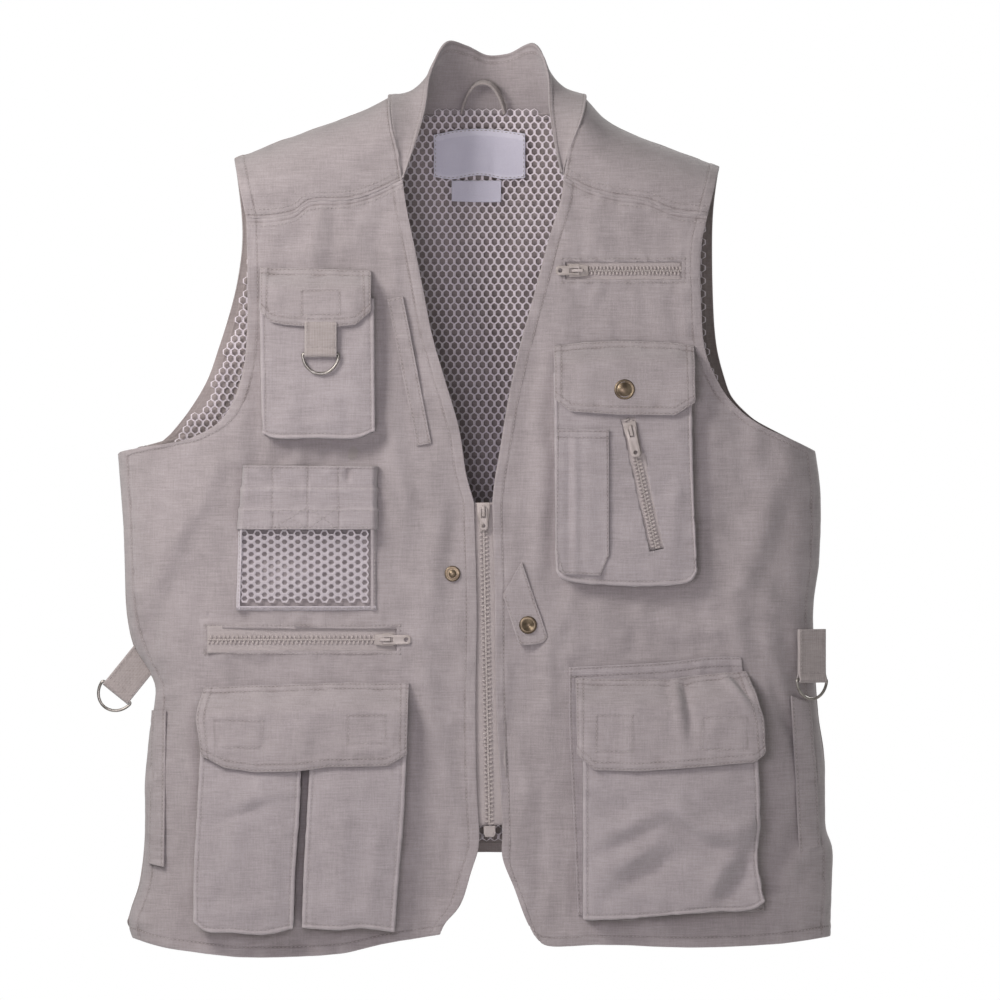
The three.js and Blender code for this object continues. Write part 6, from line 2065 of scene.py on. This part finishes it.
@dataclass
class MeshPocket:
    """The net pocket below the right chest pouch."""

    frame_width: float = 2.8
    pitch_across: float = 5.2
    pitch_up: float = 6.3

    def build(self, shop: Workshop) -> None:
        """Builds the net, its frame and the slotted band over it."""
        node = "mesh_pocket_body"
        low, high = cad_box(node)
        stand = -TUBE.front_depth - low[1] - 0.6
        noise = Crumple(161)
        margin = 1.2

        def surface(x: Array, z: Array) -> Array:
            """The net's slack surface."""
            edge = np.minimum(np.minimum(x - low[0], high[0] - x), z - low[2] + 2)
            full = 3.6 + (stand - 3.6) * np.clip((z - high[2] + 14) / 14, 0, 1)
            out = 1.2 + (full - 1.2) * np.clip(edge / 4, 0, 1) ** 0.6 + 1.1 * noise.at(x / 26,
                z / 26) * np.clip(edge / 9, 0, 1)
            return TUBE.front(x, z, out)

        def inside(x: Array, z: Array) -> Array:
            """Whether a lattice point lies inside the frame."""
            return (x > low[0] + margin) & (x < high[0] - 2 * margin) & (z > low[2] + 1) & (z < high[2] + 4)

        data = lattice("pocket_lattice", low[[0, 2]] - 3, high[[0, 2]] + 6, self.pitch_up, self.pitch_across,
            inside, surface, True)
        net = shop.net.bake("mesh_pocket_net", data, {
            "Hole": 0.64, "Height": 0.86, "Strand": 0.0006, "Material": shop.finishes.pocket_net})
        dress(net, shop.finishes.pocket_net, "mesh", SHELL_BODY, node)
        self.rim(shop, low, high, stand)
        self.band(shop)

    def rim(self, shop: Workshop, low: Array, high: Array, stand: float) -> None:
        """The cloth binding down both sides and along the foot of the net."""
        x0, x1, z0, z1 = low[0] + 1, high[0] - 1, low[2] + 1, high[2] + 1
        w = self.frame_width
        strips = (
            ("mesh_pocket_rim_right", [(x0, z0), (x0 + 2, z1)], [(x0 + w, z0), (x0 + w + 2, z1)], Edge.LEFT),
            ("mesh_pocket_rim_left", [(x1 - 1.5 * w, z0), (x1 - 1.5 * w, z1)], [(x1, z0), (x1, z1)],
                Edge.RIGHT),
            ("mesh_pocket_rim_foot", [(x0, z0 - 0.5), (x0, z0 + w)], [(x1, z0), (x1, z0 + w)], Edge.BOTTOM),
        )
        for name, left, right, outer in strips:
            outline = Outline(Line(left), Line(right), Line([left[0], right[0]]), Line([left[-1], right[-1]]))
            cloth = Cloth(name, outline, stations(max(outline.bottom.length, 23), 1.6),
                stations(max(outline.left.length, 23), 1.6))
            inward = np.clip(cloth.distance[outer] / 2.4, 0, 1)
            top = 3.4 + (stand - 3.4) * np.clip((cloth.z - high[2] + 14) / 14, 0, 1)
            cloth.on_front(1.2 + (top - 0.6) * inward ** 0.7)
            cloth.lie(Weave(wave=0.4, wave_size=22, crumple=0.25, seed=163), 3.0, ())
            # Paler along the binding's rolled crest: painted highlight.
            cloth.wear_and_painted_light += 0.4 * np.exp(-((cloth.distance[outer] - 3) / 1.2) ** 2)
            cloth.settle()
            shop.stitches.add(SHELL_BODY, cloth.trace(outer, w - 1.2, 2.0))
            rim_finish = shop.finishes.pocket if outer is Edge.RIGHT else shop.finishes.pocket_net
            dress(cloth.mesh(1.0), rim_finish, "pocket_cloth", SHELL_BODY)

    def band(self, shop: Workshop) -> None:
        """The band over the net: three strips, with slots sewn between upright rows and hook squares
        below.
        """
        node = "mesh_pocket_band"
        low, high = cad_box(node)
        stand = -TUBE.front_depth - low[1] - 0.6
        outline = framed(node, [(0.0, 0.0), (0.04, 1)], [(1, 0), (1, 0.98)], [(0, 0), (1, 0)],
            [(0.04, 1), (1, 0.98)])
        cloth = Cloth("mesh_pocket_slots", outline, stations(109, 1.6), stations(50, 1.1))
        side = np.minimum(cloth.distance[Edge.LEFT], cloth.distance[Edge.RIGHT])
        up = cloth.distance[Edge.BOTTOM] / 50
        cloth.on_front(1.6 + (stand - 0.8) * np.clip(side / 3.5, 0, 1) ** 0.5)
        cloth.lie(Weave(wave=0.6, wave_size=30, crumple=0.3, seed=165), 5.0, (Edge.LEFT, Edge.RIGHT))
        for level in (0.34, 0.66):
            step = 1 / (1 + np.exp(-(up - level) / 0.006))
            cloth.height -= 0.7 * step * np.exp(-np.clip(up - level, 0, 1) / 0.2)
            cloth.height += 0.5 * np.exp(-((up - level + 0.03) / 0.04) ** 2)
            # Darker in the step's crease: painted shade; paler on the raised ridge below it: painted
            # highlight.
            cloth.wear_and_painted_light -= 0.6 * np.exp(-((up - level) / 0.012) ** 2)
            cloth.wear_and_painted_light += 0.4 * np.exp(-((up - level + 0.03) / 0.03) ** 2)
        across = [low[0] + share * (high[0] - low[0]) for share in (0.25, 0.5, 0.72)]
        z0, z1, z2, z3 = (low[2] + share * 50 for share in (0.02, 0.32, 0.66, 0.98))
        for x in across:
            cloth.groove(np.array([(x, z0), (x, z3)]), 0.6, 0.9, 0.8, seed=167)
        slot = np.exp(-((cloth.x - (low[0] + 0.79 * 109)) / 2.6) ** 2 - ((up - 0.84) / 0.1) ** 4)
        cloth.height -= 2.0 * slot
        # The slot's hollow is darker: painted shadow.
        cloth.wear_and_painted_light -= 0.3 * slot
        cloth.hem({Edge.TOP: Hem(2.6, 0.4, (1.6,), 0.4, 8.0)}, seed=41)
        cloth.settle()
        dress(cloth.mesh(POCKET_CLOTH), shop.finishes.pocket, "pocket_cloth", SHELL_BODY, node)
        rows = [np.linspace((x, z0), (x, z3), 36) for x in across]
        for left, right in zip(across, across[1:]):
            rows.append(np.linspace((left + 2, z0 + 1), (right - 2, z1), 20))
            rows.append(np.linspace((left + 2, z1), (right - 2, z0 + 1), 20))
        for level in (z1 - 1.2, z2 - 1.2, z3 - 1.0, z0 + 0.8):
            rows.append(np.linspace((low[0] + 6, level), (high[0] - 5, level), 60))
        shop.stitches.add(SHELL_BODY, *[cloth.follow(row) for row in rows])


def zip_of(name: str, start_node: str, direction: tuple[float, float, float],
        origin: tuple[float, float, float],
           length: float, tape: float, chains: tuple[str, ...], teeth: tuple[str, ...] = ()) -> Zip:
    """A zip placed from its frame nodes' middle plane."""
    low, high = cad_box(start_node)
    middle = (low[1] + high[1]) / 2
    way = np.array(direction) / np.linalg.norm(direction)
    return Zip(name, np.array([origin[0], middle, origin[2]]), way, length, tape, chains, teeth)


ZIPS = {
    "main": zip_of("main", "main_zip_teeth_right", (5, 0, -255), (-3, 0, 349), 252, 26,
                   ("main_zip_tape_right", "main_zip_tape_left"),
                   ("main_zip_teeth_right", "main_zip_teeth_left")),
    "hip": zip_of("hip", "hip_zip_chain", (-1, 0, 0), (-69.5, 0, 242), 149, 19, ("hip_zip_chain",)),
    "left_chest": zip_of("left_chest", "left_chest_zip_chain", (1, 0, 0), (60.5, 0, 530), 92, 15,
        ("left_chest_zip_chain",)),
    "diagonal": zip_of("diagonal", "diagonal_zip_chain", (21.5, 0, -99), (109.8, 0, 415), 105, 12,
        ("diagonal_zip_chain",)),
}


@dataclass
class Trims:
    """The snaps, the storm tab, the side straps and the zip box."""

    def build(self, shop: Workshop) -> None:
        """Builds every trim."""
        self.snaps(shop)
        self.storm_tab(shop)
        side = cad_box("right_side_strap")
        lean = math.radians(39)
        reach = 20.0
        root = np.array([-275.5 + reach * math.sin(lean), (side[0][1] + side[1][1]) / 2,
            219.3 + reach * math.cos(lean)])
        RingTab("right_side_strap", "right_side_ring", 25.0, 27.0 + reach, lean=lean,
            tab_body="right_side_strap").build(shop, root)
        RingTab("left_side_strap", "left_side_ring", 25.0, 42.0, yaw=math.radians(32),
            tab_body="left_side_strap").build(
            shop, np.array([254.0, -27.0, cad_box("left_side_strap")[1][2]]))
        dress(softened_copy("main_zip_box", "main_zip_end_box", 0.5), shop.finishes.teeth, "zip_teeth",
            SHELL_BODY, "main_zip_box")

    def snaps(self, shop: Workshop) -> None:
        """The cap and its stud on the chest flap, the ring snap and its stud on the storm tab."""
        cap = [(0, 0), (7.6, 0), (8.1, 0.5), (8.0, 1.3), (7.3, 1.9), (6.5, 1.8), (6.0, 1.35), (5.6, 1.45),
            (4.6, 2.1), (3.0, 2.6), (1.4, 2.85), (0, 2.9)]
        plain = [(0, 0), (5.8, 0), (6.1, 0.3), (5.8, 0.8), (4.6, 1.0), (2.4, 0.9), (0, 0.8)]
        ring = [(0, 0.3), (0, 0.0), (6.6, 0), (7.0, 0.5), (6.8, 1.5), (6.0, 2.2), (5.0, 2.3), (4.2, 1.9),
            (3.6, 1.2), (2.6, 1.0), (2.4, 0.6), (0, 0.6)]
        stud = [(0, 0), (6.0, 0), (6.2, 0.4), (5.9, 1.2), (5.0, 1.5), (4.2, 1.25), (3.2, 1.2), (2.3, 1.5),
            (2.1, 2.4), (2.5, 3.0), (2.1, 3.5), (0, 3.6)]
        for node, name, profile, body, material in (
                ("flap_snap_cap", "chest_snap_cap", cap, "left_chest_flap", shop.finishes.brass),
                ("pouch_snap_stud", "chest_snap_stud", plain, SHELL_BODY, shop.finishes.brass),
                ("storm_tab_socket", "tab_ring_snap", ring[1:], "storm_tab", shop.finishes.brass),
                ("storm_tab_stud", "front_snap_stud", stud, SHELL_BODY, shop.finishes.brass)):
            low, high = cad_box(node)
            centre = np.array([(low[0] + high[0]) / 2, high[1] + 0.1, (low[2] + high[2]) / 2])
            dress(turned(name, profile, centre), material, "antique_brass", body, node)

    def storm_tab(self, shop: Workshop) -> None:
        """The tab that snaps across the top of the zip."""
        node = "storm_tab"
        outline = framed(node, [(0, 0.6), (0.414, 1)], [(0.357, 0), (0.6, 0.0), (0.9, 0.03), (1, 0.09)],
                         [(0, 0.6), (0.357, 0)], [(0.414, 1), (1, 0.09)])
        cloth = Cloth("storm_tab_cloth", outline, stations(45, 1.3), stations(32, 1.2))
        low, _ = cad_box(node)
        cloth.on_front(-TUBE.front_depth - low[1] - 0.6)
        cloth.lie(Weave(wave=0.5, wave_size=20, crumple=0.25, seed=171), 4.0, (Edge.LEFT,))
        rim = Hem(width=3.0, rise=0.35, rows=(1.6,), pucker=0.3, pitch=8.0)
        cloth.hem({Edge.TOP: rim, Edge.BOTTOM: rim, Edge.RIGHT: rim}, seed=43)
        cloth.settle()
        piece = cloth.mesh(1.8)
        dress(piece, shop.finishes.shell, "cloth", "", node)
        root = to_row(np.array([19.75, low[1], 290.0]))
        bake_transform(piece)
        shop.stitches.add(node, *[cloth.trace(edge, 1.6, 1.6, proud=0.4)
            for edge in (Edge.TOP, Edge.BOTTOM, Edge.RIGHT)])


@dataclass
class Studio:
    """The pale floor, the soft lights and the camera."""

    view_centre: Array = field(default_factory=lambda: to_row(np.array([10.1, -46.0, 351.0])))
    view_height: float = 0.78
    lens: float = 300.0

    def build(self) -> None:
        """Sets the studio up."""
        scene = bpy.context.scene
        scene.view_settings.view_transform = "Standard"
        camera = bpy.data.cameras.new("camera")
        camera.lens = self.lens
        camera.sensor_width = 36.0
        distance = self.view_height * self.lens / camera.sensor_width
        holder = bpy.data.objects.new("camera", camera)
        scene.collection.objects.link(holder)
        holder.location = Vector(self.view_centre) + Vector((0, -distance, 0))
        holder.rotation_euler = (math.radians(90), 0, 0)
        camera.clip_end = 50
        scene.camera = holder
        self.light("key", (-0.75, -0.78, 0.32), 0.45, 12.0, (1.0, 0.975, 0.96))
        self.light("middle", (-0.15, -1.2, -0.38), 0.4, 4.6, (0.93, 0.89, 1.0))
        self.light("fill", (1.9, -2.2, 0.3), 2.0, 3.0, (0.97, 0.97, 1.0))
        self.light("rear", (1.3, 2.3, 1.2), 1.0, 46, (1, 1, 1))
        self.world()
        self.floor()

    def light(self, name: str, place: tuple[float, float, float], size: float, power: float,
            colour: Colour) -> None:
        """A square soft light that faces the middle of the vest."""
        data = bpy.data.lights.new(name, "AREA")
        data.size = size
        data.energy = power
        data.color = colour
        lamp = bpy.data.objects.new(name, data)
        lamp.location = place
        aim = Vector((0.01, -0.05, -0.35)) - Vector(place)
        lamp.rotation_euler = aim.to_track_quat("-Z", "Y").to_euler()
        bpy.context.scene.collection.objects.link(lamp)

    def world(self) -> None:
        """White surroundings that light the vest more softly than they look."""
        world = bpy.data.worlds.new("studio")
        world.use_nodes = True
        tree = world.node_tree
        glow = tree.nodes["Background"]
        glow.inputs["Color"].default_value = (1, 1, 1, 1)
        path = tree.nodes.new("ShaderNodeLightPath")
        strength = tree.nodes.new("ShaderNodeMapRange")
        strength.inputs["To Min"].default_value = 0.34
        strength.inputs["To Max"].default_value = 1.0
        tree.links.new(path.outputs["Is Camera Ray"], strength.inputs["Value"])
        tree.links.new(strength.outputs["Result"], glow.inputs["Strength"])
        bpy.context.scene.world = world

    def floor(self) -> None:
        """A plain pale floor well below the hem."""
        shade = Shade("floor_paint", 0.9)
        noise = shade.tree.nodes.new("ShaderNodeTexNoise")
        noise.inputs["Scale"].default_value = 3.0
        colour = shade.mix(noise.outputs["Fac"], (0.86, 0.86, 0.86), (0.9, 0.9, 0.9))
        shade.tree.links.new(colour, shade.surface.inputs["Base Color"])
        work = bmesh.new()
        bmesh.ops.create_circle(work, cap_ends=True, radius=1.6, segments=96)
        bmesh.ops.translate(work, verts=work.verts, vec=(0, 0, -1.15))
        data = bpy.data.meshes.new("floor")
        work.to_mesh(data)
        work.free()
        data.materials.append(shade.material)
        link("floor", data)


def sew_everything(shop: Workshop) -> None:
    """Bakes every group's stitches and parents each group to its body, except the flap and storm tab groups,
    which are baked in place unparented.
    """
    flaps = {"right_chest_flap", "right_lower_flap", "left_chest_flap", "left_lower_flap"}
    for group in sorted(shop.stitches.rows):
        piece = shop.stitches.make(group, shop.stitch, shop.finishes.thread)
        if group in flaps:
            dress(piece, shop.finishes.thread, "cloth", "")
            low, high = cad_box(group)
            middle = (low[0] + high[0]) / 2
            start = to_row(np.array([middle, high[1], high[2] - 1.0]))
            end = to_row(np.array([middle, high[1], high[2] - 13.0]))
            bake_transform(piece)
        elif group == "storm_tab":
            dress(piece, shop.finishes.thread, "cloth", "")
            root = to_row(np.array([19.75, cad_box(group)[0][1], 290.0]))
            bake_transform(piece)
        else:
            dress(piece, shop.finishes.thread, "cloth", group)


def main() -> None:
    """Builds the studio, then the vest's sub-assemblies in order."""
    logging.basicConfig(level=logging.INFO, format="%(name)s: %(message)s")
    Studio().build()
    shop = Workshop(Finishes(), stitch_tool(), teeth_tool(), net_tool())
    Shell().build(shop)
    Pockets().build(shop)
    for chain in ZIPS.values():
        chain.build(shop)
    Trims().build(shop)
    sew_everything(shop)


if __name__ == "__main__":
    main()
